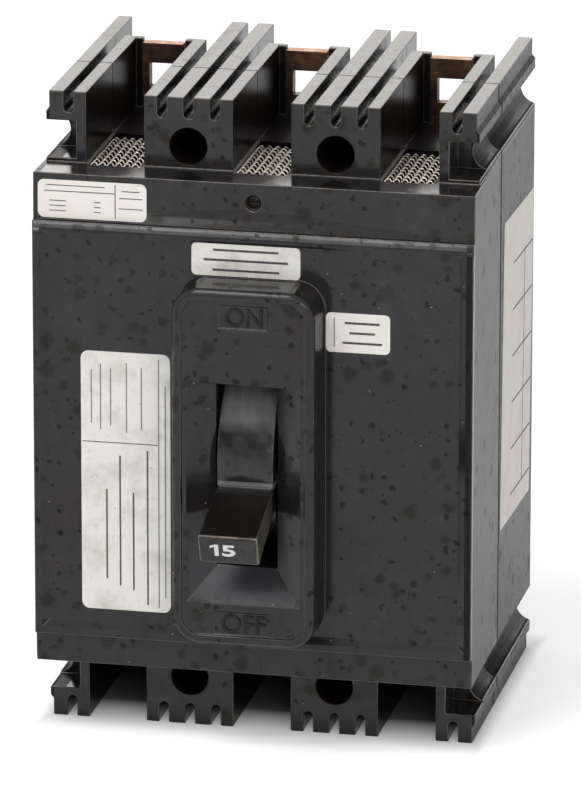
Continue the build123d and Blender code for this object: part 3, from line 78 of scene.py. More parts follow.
# Rim round the front panel. It looks rolled along the top: the look falls over the rim by a straight and a
# curved part, and over the slope below it by a curved part, each as a share of the rim's width.
RIM_TOP = 48.65 * MM
RIM_WIDTH = 1.7 * MM
RIM_FRONT = -83.3 * MM
RIM_SIDE = 50.6 * MM
RIM_FALL = 0.50
RIM_CURVE = 0.22
SLOPE_CURVE = 0.62

# Edge of the panel's recess along the bottom
RECESS_BOTTOM = -49.2 * MM
RECESS_BACK = -82.51 * MM
RECESS_FRONT = -83.49 * MM

# Walls at the left and right of the handle boss, from its foot to where they round into its face
BOSS_SIDE = 16.0 * MM
BOSS_FOOT = -83.9 * MM
BOSS_FRONT = PLAQUE_Y + 1.5 * MM

# Lower slope of the funnel round the handle, where dust settles and a lighter tone is painted for the light
# it catches
FUNNEL_TOP = -27.0 * MM
FUNNEL_BOTTOM = -40.0 * MM
FUNNEL_FRONT = PLAQUE_Y + 0.2 * MM
FUNNEL_BACK = -88.2 * MM
FUNNEL_HALF = 14.0 * MM

# Outer sides of the case with their grooves, and the ledge in front of the vent screens
FLANK_X = 50.65 * MM
FLANK_START = -81.9 * MM
GROOVE_X = 47.6 * MM
GROOVE_LOW = 60.2 * MM
GROOVE_HIGH = 70.0 * MM
LEDGE_Z = 59.8 * MM
LEDGE_HALF = 0.3 * MM

# Ends of the case: rib tops, terminal pockets and mounting bores (both in painted shade), and ends of the
# copper straps
RIB_TOP = CAD_BOX[1].z
POCKET_HALF = 7.25 * MM
POCKET_START = 58.5 * MM
POCKET_FRONT = -73.2 * MM
STRAP_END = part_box("line_terminal_left")[1].z
MOUNT_X = POLE_PITCH / 2
MOUNT_Z = 65.1 * MM
MOUNT_RADIUS = 4.43 * MM

# Handle: its pivot, how far it hangs below the horizontal, and the two directions that follow from it
PIVOT = Vector((0.0, -68.5 * MM, -6.85 * MM))
HANDLE_DROP = radians(18.7)
HANDLE_OUT = Vector((0.0, -cos(HANDLE_DROP), -sin(HANDLE_DROP)))
HANDLE_UP = Vector((0.0, -sin(HANDLE_DROP), cos(HANDLE_DROP)))

# Knob, measured from the pivot along those directions, and its root and right flank
KNOB_REACH = 43.0 * MM
KNOB_TOP = 3.3 * MM
KNOB_ROOT = -91.6 * MM
KNOB_FLANK = 6.6 * MM
TIP_RIM_START = KNOB_REACH - 0.55 * MM
TIP_RIM_END = KNOB_REACH - 0.06 * MM

# Levels on the shield behind the knob: dust and a painted sheen above, a painted dark reflection in the
# middle and a painted highlight on the lip below
DUST_SHEEN_LOW = 1.5 * MM
DUST_SHEEN_HIGH = 9.0 * MM
DARK_REFLECTION_LOW = -3.2 * MM
DARK_REFLECTION_HIGH = 3.0 * MM
LIP_LOW = -11.0 * MM
LIP_HIGH = -9.7 * MM


def add_object(name, data):
    obj = bpy.data.objects.new(name, data)
    bpy.context.scene.collection.objects.link(obj)
    return obj


def mesh_object(name, build):
    """Object whose mesh is made by a function that fills a bmesh."""
    mesh = bpy.data.meshes.new(name)
    shape = bmesh.new()
    build(shape)
    bmesh.ops.recalc_face_normals(shape, faces=shape.faces)
    shape.to_mesh(mesh)
    shape.free()
    return add_object(name, mesh)


class NodeTree:
    """Small helper that builds the nodes of a material or a world."""

    def __init__(self, owner):
        owner.use_nodes = True
        self.owner = owner
        self.tree = owner.node_tree

    def add(self, kind, **inputs):
        """New node, with a value or a socket fed to each input that is named."""
        node = self.tree.nodes.new(kind)
        for key, value in inputs.items():
            self.feed(node.inputs[key], value)
        return node

    def feed(self, socket, value):
        if isinstance(value, bpy.types.NodeSocket):
            self.tree.links.new(value, socket)
        else:
            socket.default_value = value

    def math(self, operation, first, *others):
        """Sum, product or other operation over two or more values, from left to right."""
        for other in others:
            node = self.add("ShaderNodeMath")
            node.operation = operation
            self.feed(node.inputs[0], first)
            self.feed(node.inputs[1], other)
            first = node.outputs[0]
        return first

    def above(self, value, limit):
        return self.math("GREATER_THAN", value, limit)

    def below(self, value, limit):
        return self.math("LESS_THAN", value, limit)

    def away(self, value, middle=0.0):
        """Distance of a value from a middle, on either side."""
        return self.math("ABSOLUTE", self.math("SUBTRACT", value, middle), 0.0)

    def ramp(self, value, low, high, start=0.0, end=1.0):
        """A value taken from the range low to high to the range start to end, and held there."""
        limits = {"From Min": low, "From Max": high, "To Min": start, "To Max": end}
        return self.add("ShaderNodeMapRange", Value=value, **limits).outputs["Result"]

    def band(self, value, low, high, soft):
        """One between two limits, with soft ends."""
        rise = self.ramp(value, low - soft, low + soft)
        fall = self.ramp(value, high - soft, high + soft, 1.0, 0.0)
        return self.math("MULTIPLY", rise, fall)

    def mix(self, factor, first, second):
        """Mix of two colours, each a colour or a socket."""
        node = self.add("ShaderNodeMix")
        node.data_type = "RGBA"
        self.feed(node.inputs[0], factor)
        for socket, value in ((node.inputs[6], first), (node.inputs[7], second)):
            self.feed(socket, value if isinstance(value, bpy.types.NodeSocket) else (*value, 1.0))
        return node.outputs[2]

    def seen(self):
        """One for what the camera sees, also in reflections and through glass, and zero for other light."""
        rays = self.add("ShaderNodeLightPath").outputs
        return self.math("MAXIMUM", rays["Is Camera Ray"], rays["Is Glossy Ray"], rays["Is Transmission Ray"])


class MaterialTree(NodeTree):
    """Nodes of a new material. Its place, x, y and z are the object's own coordinates."""

    def __init__(self, name):
        super().__init__(bpy.data.materials.new(name))
        self.shader = self.tree.nodes["Principled BSDF"]
        self.output = self.tree.nodes["Material Output"]
        self.place = self.add("ShaderNodeTexCoord").outputs["Object"]
        self.x, self.y, self.z = self.add("ShaderNodeSeparateXYZ", Vector=self.place).outputs

    def stretched(self, x, y, z):
        """Object coordinates, stretched along the axes."""
        return self.add("ShaderNodeMapping", Vector=self.place, Scale=(x, y, z)).outputs["Vector"]

    def wobbled(self, scale, amount):
        """Object coordinates shaken a little, so that round spots come out uneven."""
        node = self.add("ShaderNodeTexNoise", Vector=self.place, Scale=scale)
        shake = self.add("ShaderNodeVectorMath")
        shake.operation = "MULTIPLY_ADD"
        self.feed(shake.inputs[0], node.outputs["Color"])
        self.feed(shake.inputs[1], (amount, amount, amount))
        self.feed(shake.inputs[2], self.place)
        return shake.outputs["Vector"]

    def noise(self, scale, detail=3.0, rough=0.55, place=None):
        place = place or self.place
        node = self.add("ShaderNodeTexNoise", Vector=place, Scale=scale, Detail=detail, Roughness=rough)
        return node.outputs["Fac"]

    def specks(self, scale, size, share, place=None):
        """Small round specks: one in a share of the cells of a cell pattern."""
        node = self.add("ShaderNodeTexVoronoi", Vector=place or self.place, Scale=scale)
        draw = self.add("ShaderNodeSeparateColor", Color=node.outputs["Color"]).outputs["Red"]
        chosen = self.ramp(draw, 1.0 - share - 0.002, 1.0 - share)
        dot = self.ramp(node.outputs["Distance"], size * 0.55, size, 1.0, 0.0)
        return self.math("MULTIPLY", chosen, dot)

    def near_axes(self, x, z, radius):
        """One within a radius of the four lines along Y at plus and minus x and z, zero elsewhere."""
        squares = []
        for part, offset in ((self.x, x), (self.z, z)):
            off_axis = self.math("SUBTRACT", self.away(part), offset)
            squares.append(self.math("MULTIPLY", off_axis, off_axis))
        return self.below(self.math("ADD", *squares), radius * radius)

    def bump(self, height, distance, strength):
        node = self.add("ShaderNodeBump", Height=height, Distance=distance, Strength=strength)
        self.feed(self.shader.inputs["Normal"], node.outputs["Normal"])

    def finish(self, colour, rough, metal=0.0):
        self.feed(self.shader.inputs["Base Color"], colour)
        self.feed(self.shader.inputs["Roughness"], rough)
        self.feed(self.shader.inputs["Metallic"], metal)
        return self.owner


class Moulding:
    """Old black phenolic moulding: faint clouds, olive blotches, dark dots, dust specks, uneven gloss."""

    OLIVE = 0.70
    DOTS = 0.75
    FINE_DOTS = 0.80
    DUST = (0.42, 0.36, 0.27)
    SPOT_ROUGHNESS = 0.16
    SPOT_GLOSS_LOSS = 0.62
    GLOSS_SPREAD = 0.11
    GRAIN_HEIGHT = 0.008 * MM

    def __init__(self, name, base, dusty, rough, shine, blotches=1.0):
        n = self.nodes = MaterialTree(name)
        clouds = n.ramp(n.noise(38.0, detail=6.0, rough=0.68), 0.36, 0.66)
        upright = n.stretched(1.0, 1.0, 0.35)
        brown = n.ramp(n.noise(120.0, detail=4.0, rough=0.7, place=upright), 0.60, 0.70, 0.0, 0.6)
        shaken = n.wobbled(scale=520.0, amount=2.2 * MM)
        broad = n.specks(150.0, size=0.34, share=0.42, place=shaken)
        small = n.specks(250.0, size=0.36, share=0.34, place=shaken)
        olive = n.math("MULTIPLY", n.math("MAXIMUM", broad, small), self.OLIVE * blotches)
        dots = n.specks(400.0, size=0.36, share=0.24, place=shaken)
        fine = n.specks(900.0, size=0.32, share=0.10, place=shaken)
        dark = n.math("MAXIMUM", n.math("MULTIPLY", dots, self.DOTS * blotches),
                      n.math("MULTIPLY", fine, self.FINE_DOTS * blotches))
        spots = n.math("MAXIMUM", olive, dark)
        dust = n.math("MAXIMUM", n.specks(420.0, size=0.10, share=0.014),
                      n.specks(900.0, size=0.14, share=0.010))

        red, green, blue = dusty
        colour = n.mix(clouds, base, dusty)
        colour = n.mix(brown, colour, (red * 1.5, green * 1.15, blue * 0.9))
        colour = n.mix(olive, colour, (red * 0.95, green * 0.92, blue * 0.55))
        colour = n.mix(dark, colour, tuple(channel * 0.3 for channel in base))
        self.colour = n.mix(dust, colour, self.DUST)

        smear = n.ramp(n.noise(90.0, detail=5.0, rough=0.65), 0.3, 0.75, rough - 0.02, rough + 0.06)
        self.rough = n.math("ADD", smear, n.math("MULTIPLY", spots, self.SPOT_ROUGHNESS))
        haze = n.ramp(n.noise(260.0, detail=5.0, rough=0.7), 0.3, 0.7, 0.0, 0.4)
        film = n.math("ADD", n.math("MULTIPLY", clouds, 0.6), haze)
        clear = n.ramp(film, 0.0, 1.0, shine + self.GLOSS_SPREAD, shine - self.GLOSS_SPREAD)
        self.shine = n.math("SUBTRACT", clear, n.math("MULTIPLY", spots, self.SPOT_GLOSS_LOSS * shine))
        self.height = n.math("MULTIPLY", n.noise(1600.0, detail=2.0), self.GRAIN_HEIGHT)

    def coat(self, mask, colour, rough, shine):
        """Lays another finish over the moulding where the mask is one."""
        n = self.nodes
        self.colour = n.mix(mask, self.colour, colour)
        left = n.math("SUBTRACT", 1.0, mask)
        for key, value in (("rough", rough), ("shine", shine)):
            kept = n.math("MULTIPLY", getattr(self, key), left)
            setattr(self, key, n.math("ADD", kept, n.math("MULTIPLY", mask, value)))

    def gloss(self, mask, rough, share):
        """Gives a share of the gloss and at least this roughness where the mask is one. The colour stays."""
        n = self.nodes
        self.rough = n.math("MAXIMUM", self.rough, n.math("MULTIPLY", mask, rough))
        self.shine = n.math("MULTIPLY", self.shine, n.ramp(mask, 0.0, 1.0, 1.0, share))

    def finish(self):
        n = self.nodes
        n.feed(n.shader.inputs["Specular IOR Level"], self.shine)
        n.bump(self.height, 1.0, 1.0)
        return n.finish(self.colour, self.rough)


# Dark colour of the dirt in the seam and of the painted shade in the mounting bores
GRIME_AND_SHADE = (0.006, 0.004, 0.003)


def outer_sides(n):
    """Mask of the outer sides of the case, behind its front bands."""
    return n.math("MULTIPLY", n.above(n.away(n.x), FLANK_X), n.above(n.y, FLANK_START))


def weather_sides(made):
    """The outer sides and their grooves have lost most of their gloss."""
    n = made.nodes
    made.gloss(outer_sides(n), rough=0.24, share=0.12)
    beside = n.band(n.away(n.z), GROOVE_LOW, GROOVE_HIGH, 0.2 * MM)
    groove = n.math("MULTIPLY", n.above(n.away(n.x), GROOVE_X), beside)
    made.gloss(groove, rough=0.32, share=0.10)


def end_shade_and_rib_tops(made):
    """Painted shade in the terminal pockets and the mounting bores, and a lighter, warmer coat on the tops of
    the ribs.
    """
    n = made.nodes
    across = n.away(n.x)
    from_pole = n.math("MINIMUM", across, n.away(across, POLE_PITCH))
    pocket = n.math("MULTIPLY", n.below(from_pole, POCKET_HALF), n.above(n.away(n.z), POCKET_START),
                    n.above(n.y, POCKET_FRONT))
    # Painted shade inside the terminal pockets
    made.coat(n.math("MULTIPLY", pocket, 0.85), (0.0065, 0.0052, 0.0048), rough=0.32, shine=0.08)
    # Lighter, warmer coat on the tops of the ribs
    rib_top = n.above(n.z, RIB_TOP - 0.1 * MM)
    made.coat(n.math("MULTIPLY", rib_top, 0.6), (0.060, 0.043, 0.030), rough=0.20, shine=0.24)
    # Painted shade in the mounting bores
    bores = n.near_axes(MOUNT_X, MOUNT_Z, MOUNT_RADIUS)
    made.coat(bores, (0.0055, 0.0034, 0.0026), rough=0.85, shine=0.04)


def seam_dirt_and_shade(made):
    """Dark gap between base and cover, and a brown painted shade of the step beside it on the outer sides."""
    n = made.nodes
    gap = n.band(n.y, SEAM_Y - SEAM_HALF, SEAM_Y + SEAM_HALF, 0.03 * MM)
    made.coat(gap, GRIME_AND_SHADE, rough=0.8, shine=0.05)
    # Painted shade of the step between base and cover, beside the seam on the outer sides
    stain = n.math("MULTIPLY", outer_sides(n), n.band(n.y, SEAM_SHADE_FRONT, SEAM_SHADE_BACK, 0.3 * MM))
    made.coat(n.math("MULTIPLY", stain, 0.9), (0.022, 0.013, 0.008), rough=0.6, shine=0.05)


def rolled_edge(n):
    """Bump height that makes the rim and the slope below it look like one round edge above the panel."""
    rim = n.ramp(n.z, RIM_TOP - RIM_WIDTH, RIM_TOP)
    slope = n.ramp(n.z, RIM_TOP - 2 * RIM_WIDTH, RIM_TOP - RIM_WIDTH)
    falls = (n.math("MULTIPLY", rim, RIM_FALL), n.math("MULTIPLY", rim, rim, RIM_CURVE),
             n.math("MULTIPLY", slope, slope, SLOPE_CURVE))
    return n.math("MULTIPLY", n.math("ADD", *falls), -RIM_WIDTH, n.below(n.y, RECESS_BACK))


def front_gloss_dust_and_light(made):
    """Glossy ledge, right rim in painted shade, duller recess edge and boss walls, funnel with dust and
    painted light, rolled rim.
    """
    n = made.nodes
    across = n.away(n.x)
    ledge = n.math("MULTIPLY", n.band(n.z, LEDGE_Z - LEDGE_HALF, LEDGE_Z + LEDGE_HALF, 0.05 * MM),
                   n.above(n.y, FLANK_START))
    made.gloss(ledge, rough=0.10, share=2.6)
    # Painted shade on the right rim of the panel
    right_rim = n.math("MULTIPLY", n.above(n.x, RIM_SIDE), n.below(n.y, RIM_FRONT))
    made.coat(n.math("MULTIPLY", right_rim, 0.75), (0.006, 0.006, 0.006), rough=0.25, shine=0.05)
    recess = n.math("MULTIPLY", n.below(n.z, RECESS_BOTTOM), n.below(n.y, RECESS_BACK),
                    n.above(n.y, RECESS_FRONT))
    made.gloss(recess, rough=0.34, share=0.44)
    # Dust on the up-facing lower slope of the funnel, made lighter as painted light
    funnel = n.math("MULTIPLY", n.band(n.y, FUNNEL_FRONT, FUNNEL_BACK, 0.1 * MM),
                    n.band(n.z, FUNNEL_BOTTOM, FUNNEL_TOP, 3.0 * MM), n.below(across, FUNNEL_HALF))
    made.coat(n.math("MULTIPLY", funnel, 0.8), (0.036, 0.036, 0.042), rough=0.26, shine=0.33)
    wall = n.math("MULTIPLY", n.above(across, BOSS_SIDE), n.band(n.y, BOSS_FRONT, BOSS_FOOT, 0.1 * MM))
    made.gloss(wall, rough=0.30, share=0.6)
    smooth_wall = n.math("MULTIPLY", made.height, n.math("SUBTRACT", 1.0, wall))
    made.height = n.math("ADD", smooth_wall, rolled_edge(n))


def case_moulding():
    """Moulding of the case, with what age and use did to its sides, ends, seam and front, and painted shade
    and light on its ends, seam, right rim and funnel.
    """
    made = Moulding("case_moulding", base=(0.0100, 0.0098, 0.0118), dusty=(0.0205, 0.0176, 0.0160),
                    rough=0.14, shine=0.34)
    weather_sides(made)
    end_shade_and_rib_tops(made)
    seam_dirt_and_shade(made)
    front_gloss_dust_and_light(made)
    return made.finish()


def from_pivot(n, direction):
    """Distance of a place on the handle from its pivot, along a direction."""
    along_y = n.math("MULTIPLY", n.math("SUBTRACT", n.y, PIVOT.y), direction.y)
    along_z = n.math("MULTIPLY", n.math("SUBTRACT", n.z, PIVOT.z), direction.z)
    return n.math("ADD", along_y, along_z)


def handle_moulding():
    """Moulding of the handle: a shield with dust, a painted sheen, a painted dark reflection and a painted
    highlight on its lip, and a knob with a painted shadow on top, painted light on its right flank and a worn
    rim round its tip.
    """
    made = Moulding("handle_moulding", base=(0.0100, 0.0092, 0.0090), dusty=(0.0180, 0.0168, 0.0160),
                    rough=0.15, shine=0.42, blotches=0.5)
    n = made.nodes
    shield = n.ramp(n.y, KNOB_ROOT - 0.2 * MM, KNOB_ROOT + 0.2 * MM)
    knob = n.math("SUBTRACT", 1.0, shield)
    along = n.stretched(1.0, 0.12, 0.12)
    streaks = n.ramp(n.noise(420.0, detail=4.0, rough=0.65, place=along), 0.30, 0.70, 0.45, 1.0)
    # Dust on the shield, lightened into a painted sheen of the light from the front and above
    dust = n.math("MULTIPLY", n.ramp(n.z, DUST_SHEEN_LOW, DUST_SHEEN_HIGH), streaks, shield)
    made.coat(dust, (0.230, 0.232, 0.240), rough=0.60, shine=0.15)
    # Painted dark reflection across the middle of the shield
    patches = n.ramp(n.noise(300.0, detail=4.0), 0.3, 0.55)
    painted_reflection = n.math("MULTIPLY", n.band(n.z, DARK_REFLECTION_LOW, DARK_REFLECTION_HIGH, 1.8 * MM), patches, 0.8)
    made.coat(painted_reflection, (0.007, 0.006, 0.006), rough=0.45, shine=0.12)
    # Painted highlight on the lip at the root of the knob
    lip = n.math("MULTIPLY", n.band(n.z, LIP_LOW, LIP_HIGH, 0.15 * MM), shield)
    made.coat(lip, (0.16, 0.16, 0.17), rough=0.35, shine=0.6)
    # Painted shadow on the top of the knob
    top = n.math("MULTIPLY", n.above(from_pivot(n, HANDLE_UP), KNOB_TOP), knob)
    made.coat(top, (0.0075, 0.0058, 0.0048), rough=0.30, shine=0.14)
    worn = n.ramp(n.noise(260.0, detail=5.0, rough=0.65), 0.35, 0.65, 0.25, 0.9)
    # Painted light on the right flank of the knob, the side the light falls on
    flank = n.math("MULTIPLY", n.above(n.x, KNOB_FLANK), knob, worn)
    made.coat(flank, (0.085, 0.070, 0.050), rough=0.45, shine=0.35)
    tip_rim = n.band(from_pivot(n, HANDLE_OUT), TIP_RIM_START, TIP_RIM_END, 0.02 * MM)
    made.coat(n.math("MULTIPLY", tip_rim, worn), (0.26, 0.21, 0.155), rough=0.40, shine=0.5)
    return made.finish()


def phenolic(name, base, dusty, rough, shine):
    """Moulding of a small piece, with fewer blotches."""
    return Moulding(name, base, dusty, rough, shine, blotches=0.3).finish()


def worn_and_shaded_edge(name, colour, rough):
    """Edge of the moulding: rubbed lighter and a little brown outside, painted shade in corners and bores,
    dark in seams.
    """
    n = MaterialTree(name)
    rub = n.ramp(n.noise(170.0, detail=5.0, rough=0.75), 0.42, 0.62)
    shade = n.mix(rub, tuple(0.2 * channel for channel in colour), colour)
    outward = n.ramp(n.add("ShaderNodeNewGeometry").outputs["Pointiness"], 0.499, 0.504)
    # Painted shade in the inner corners
    shade = n.mix(outward, (0.005, 0.0035, 0.003), shade)
    seam = n.band(n.y, SEAM_Y - SEAM_EDGE_HALF, SEAM_Y + SEAM_EDGE_HALF, 0.05 * MM)
    # Painted shade round the mounting bores, added to the dirt in the seam
    bores = n.math("MULTIPLY", n.near_axes(MOUNT_X, MOUNT_Z, MOUNT_RADIUS * 1.1), 0.8)
    seam_dirt_and_bore_shade = n.math("MAXIMUM", seam, bores)
    shade = n.mix(seam_dirt_and_bore_shade, shade, GRIME_AND_SHADE)
    on_boss = n.math("MULTIPLY", n.below(n.y, BOSS_FOOT), 0.55)
    shade = n.mix(on_boss, shade, (0.012, 0.010, 0.010))
    n.feed(n.shader.inputs["Specular IOR Level"], n.ramp(seam_dirt_and_bore_shade, 0.0, 1.0, 0.5, 0.05))
    n.bump(n.noise(900.0), distance=0.05 * MM, strength=0.4)
    return n.finish(shade, rough)


def paper(name, base, stain, amount, rough):
    """Printed label stock, yellowed and stained in patches."""
    n = MaterialTree(name)
    patch = n.ramp(n.noise(120.0, detail=5.0, rough=0.62), 0.48, 0.78, 0.0, amount)
    fine = n.ramp(n.noise(520.0, detail=4.0, rough=0.6), 0.58, 0.75, 0.0, amount * 0.6)
    colour = n.mix(patch, base, stain)
    colour = n.mix(fine, colour, stain)
    colour = n.mix(n.specks(700.0, size=0.14, share=0.012), colour, (0.10, 0.09, 0.08))
    n.bump(n.noise(1500.0), distance=0.02 * MM, strength=0.3)
    return n.finish(colour, rough)


def ink(name, colour):
    """Printed line, thin in places."""
    n = MaterialTree(name)
    thin = n.ramp(n.noise(1400.0), 0.35, 0.75, 0.0, 0.35)
    return n.finish(n.mix(thin, colour, (0.30, 0.29, 0.28)), 0.55)


def metal(name, light, dark, rough, scale=220.0, streak=(1.0, 1.0, 1.0)):
    """Metal with an uneven tarnish and fine streaks."""
    n = MaterialTree(name)
    place = n.stretched(*streak)
    tarnish = n.ramp(n.noise(scale, detail=5.0, rough=0.62, place=place), 0.36, 0.70)
    uneven = n.ramp(n.noise(scale * 2.3, rough=0.5, place=place), 0.3, 0.7, rough - 0.07, rough + 0.12)
    n.bump(n.noise(scale * 6.0, detail=2.0, rough=0.5, place=place), distance=0.02 * MM, strength=0.3)
    return n.finish(n.mix(tarnish, light, dark), uneven, metal=1.0)


def tarnished_copper(name):
    """Copper strap with golden, brown and purple tarnish, and a painted highlight on its end faces."""
    n = MaterialTree(name)
    golden = n.ramp(n.noise(180.0, detail=5.0, rough=0.6), 0.40, 0.62)
    purple = n.ramp(n.noise(260.0, detail=4.0, rough=0.6, place=n.stretched(1.0, 1.0, 1.7)), 0.52, 0.66)
    colour = n.mix(golden, (0.040, 0.024, 0.016), (0.135, 0.070, 0.032))
    colour = n.mix(purple, colour, (0.070, 0.026, 0.033))
    # Painted highlight on the end faces of the strap
    colour = n.mix(n.above(n.away(n.z), STRAP_END - 0.05 * MM), colour, (0.36, 0.19, 0.10))
    n.bump(n.noise(1300.0), distance=0.03 * MM, strength=0.4)
    return n.finish(colour, n.ramp(n.noise(420.0, detail=4.0), 0.3, 0.7, 0.32, 0.55), metal=0.85)


def fibre(name, base, dark):
    """Pressed fibre sheet."""
    n = MaterialTree(name)
    grain = n.noise(600.0, detail=4.0, rough=0.7, place=n.stretched(1.0, 3.0, 1.0))
    n.bump(n.noise(1500.0), distance=0.04 * MM, strength=0.4)
    return n.finish(n.mix(n.ramp(grain, 0.35, 0.7), base, dark), 0.75)


def make_materials():
    """All finishes, by the short names that the rest of the script uses."""
    made = {}
    made["case"] = case_moulding()
    made["edge"] = worn_and_shaded_edge("case_edge", (0.088, 0.062, 0.043), 0.24)
    made["handle"] = handle_moulding()
    made["handle_edge"] = worn_and_shaded_edge("handle_edge", (0.230, 0.185, 0.135), 0.34)
    made["letter"] = phenolic("letter_moulding", (0.0080, 0.0074, 0.0080), (0.0120, 0.0105, 0.0100), 0.20,
                              0.20)
    # Flanks of the raised letters: dirt, and painted shade beside the strokes
    made["flank_dirt_and_shade"] = phenolic("letter_grime", (0.004, 0.003, 0.003), (0.006, 0.005, 0.004), 0.80, 0.09)
    made["brown"] = phenolic("bar_moulding", (0.050, 0.024, 0.014), (0.070, 0.036, 0.022), 0.42, 0.5)
    made["copper"] = tarnished_copper("strap_copper")
    made["braid"] = metal("braid_copper", (0.70, 0.36, 0.20), (0.38, 0.17, 0.09), 0.42, scale=900.0)
    made["silver"] = metal("contact_silver", (0.82, 0.80, 0.76), (0.50, 0.47, 0.43), 0.30)
    made["steel"] = metal("plated_steel", (0.60, 0.59, 0.56), (0.40, 0.38, 0.34), 0.34)
    made["dark_steel"] = metal("spring_steel", (0.26, 0.25, 0.25), (0.12, 0.11, 0.10), 0.36)
    made["screw"] = metal("screw_steel", (0.48, 0.47, 0.45), (0.26, 0.24, 0.21), 0.36)
    # Front screw darkened as painted shade of the hole it sits in
    made["dark_screw"] = metal("screw_in_painted_shade", (0.060, 0.055, 0.050), (0.020, 0.017, 0.015), 0.55)
    made["wire"] = metal("screen_wire", (0.50, 0.455, 0.39), (0.15, 0.115, 0.08), 0.30, scale=700.0)
    made["bimetal"] = metal("bimetal_strip", (0.62, 0.58, 0.50), (0.42, 0.38, 0.31), 0.30, scale=200.0,
                            streak=(1.0, 0.2, 1.0))
    made["fibre"] = fibre("chute_fibre", (0.36, 0.31, 0.26), (0.22, 0.18, 0.15))
    made["paper"] = paper("label_paper", (0.90, 0.86, 0.80), (0.66, 0.56, 0.46), amount=0.30, rough=0.42)
    made["foil"] = paper("label_foil", (0.86, 0.84, 0.77), (0.36, 0.34, 0.28), amount=0.60, rough=0.34)
    made["side_paper"] = paper("side_label_paper", (0.80, 0.75, 0.68), (0.62, 0.50, 0.40), amount=0.55,
                               rough=0.50)
    made["ink"] = ink("label_ink", (0.030, 0.028, 0.027))
    made["print"] = ink("handle_print", (0.86, 0.86, 0.84))
    return made


MATERIALS = make_materials()

# Finishes of the CAD nodes, by whole name or by how the name starts. Other screws and springs have their own
# steels, and what is left is plated steel.
FINISH_OF_NODE = {"base": "case", "cover": "case", "handle": "handle", "crossbar": "brown",
                  "trip_bar": "brown", "fixed_contacts": "silver", "front_screw": "dark_screw"}
FINISH_OF_START = {"moving_contact": "silver", "line_terminal": "copper", "load_terminal": "copper",
                   "contact_arm": "copper", "braid": "braid", "bimetal": "bimetal", "arc_chute": "fibre"}

EDGE_WIDTH = 0.25 * MM


def finish_of(name):
    """Short name of the finish of a CAD node."""
    for start, chosen in FINISH_OF_START.items():
        if name.startswith(start):
            return chosen
    if name in FINISH_OF_NODE:
        return FINISH_OF_NODE[name]
    if "spring" in name and "pin" not in name:
        return "dark_steel"
    return "screw" if "screw" in name else "steel"


def soften_edges(name, edge):
    """Rounds the sharp edges of a CAD node and gives the rounded strip its own finish."""
    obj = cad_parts[name]
    weld = obj.modifiers.new("weld", "WELD")
    weld.merge_threshold = 0.03 * MM
    flat = obj.modifiers.new("flat", "DECIMATE")
    flat.decimate_type = "DISSOLVE"
    flat.angle_limit = radians(0.5)
    bevel = obj.modifiers.new("edges", "BEVEL")
    bevel.width = EDGE_WIDTH
    bevel.segments = 2
    bevel.limit_method = "ANGLE"
    bevel.angle_limit = radians(40)
    bevel.use_clamp_overlap = False
    bevel.material = 1
    bevel.harden_normals = True
    obj.data.materials.append(MATERIALS[edge])


def dress_nodes():
    """Gives every CAD node its finish."""
    for name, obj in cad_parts.items():
        obj.data.materials.clear()
        obj.data.materials.append(MATERIALS[finish_of(name)])
    for name, edge in (("base", "edge"), ("cover", "edge"), ("handle", "handle_edge")):
        soften_edges(name, edge)


# Labels: plain stock with plain ruled lines. Sizes and places on a label are in mm.
LABEL_THICKNESS = 0.12 * MM
INK_THICKNESS = 0.02 * MM
CORNER_STEPS = 6
HAIR = 0.22
COLUMN = 0.4
GRID = 0.5
BOLD = 0.55
DIVIDER = 0.6


def rounded_corners(width, height, radius):
    """Points round a rectangle with round corners, about its middle."""
    points = []
    for turn, (sx, sy) in enumerate(((1, 1), (-1, 1), (-1, -1), (1, -1))):
        centre = Vector((sx * (width / 2 - radius), sy * (height / 2 - radius)))
        for step in range(CORNER_STEPS + 1):
            angle = (turn + step / CORNER_STEPS) * pi / 2
            points.append(centre + radius * Vector((cos(angle), sin(angle))))
    return points


def plate_builder(points, thickness):
    """Builder of a thin plate over flat points: it rises from z = 0."""
    def build(shape):
        low = [shape.verts.new((p.x, p.y, 0.0)) for p in points]
        high = [shape.verts.new((p.x, p.y, thickness)) for p in points]
        shape.faces.new(list(reversed(low)))
        shape.faces.new(high)
        for i in range(len(points)):
            j = (i + 1) % len(points)
            shape.faces.new((low[i], low[j], high[j], high[i]))
    return build


def surface(origin, right, up):
    """Placement on a flat surface: right and up along it, and out of it."""
    out = right.cross(up)
    turn = Matrix((right, up, out)).transposed().to_4x4()
    return Matrix.Translation(origin) @ turn


def on_front(x, depth, z):
    """Placement on a surface of the front at a depth, with x and z in mm."""
    return surface(Vector((x * MM, depth, z * MM)), Vector((1, 0, 0)), Vector((0, 0, 1)))


def bake_place(obj, place):
    """Puts the placement into the mesh."""
    obj.data.transform(place)
    obj.data.update()


def rule(x, y, length, thickness=HAIR, upright=False):
    """Ruled line about a place on a label, as its lower left and upper right corner in metres."""
    half = Vector((thickness, length)) / 2 if upright else Vector((length, thickness)) / 2
    middle = Vector((x, y))
    return (middle - half) * MM, (middle + half) * MM


def make_label(name, place, size, radius, stock, lines):
    """Label with round corners and ruled lines."""
    width, height = size
    outline = rounded_corners(width * MM, height * MM, radius * MM)
    plate = mesh_object(name, plate_builder(outline, LABEL_THICKNESS))
    bake_place(plate, place)
    plate.data.materials.append(MATERIALS[stock])
    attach(plate, "case")

    def build(shape):
        for low, high in lines:
            corners = [low, Vector((high.x, low.y)), high, Vector((low.x, high.y))]
            plate_builder(corners, INK_THICKNESS)(shape)
    rules = mesh_object(name + "_rules", build)
    bake_place(rules, place @ Matrix.Translation((0, 0, LABEL_THICKNESS)))
    rules.data.materials.append(MATERIALS["ink"])
    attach(rules, "case")


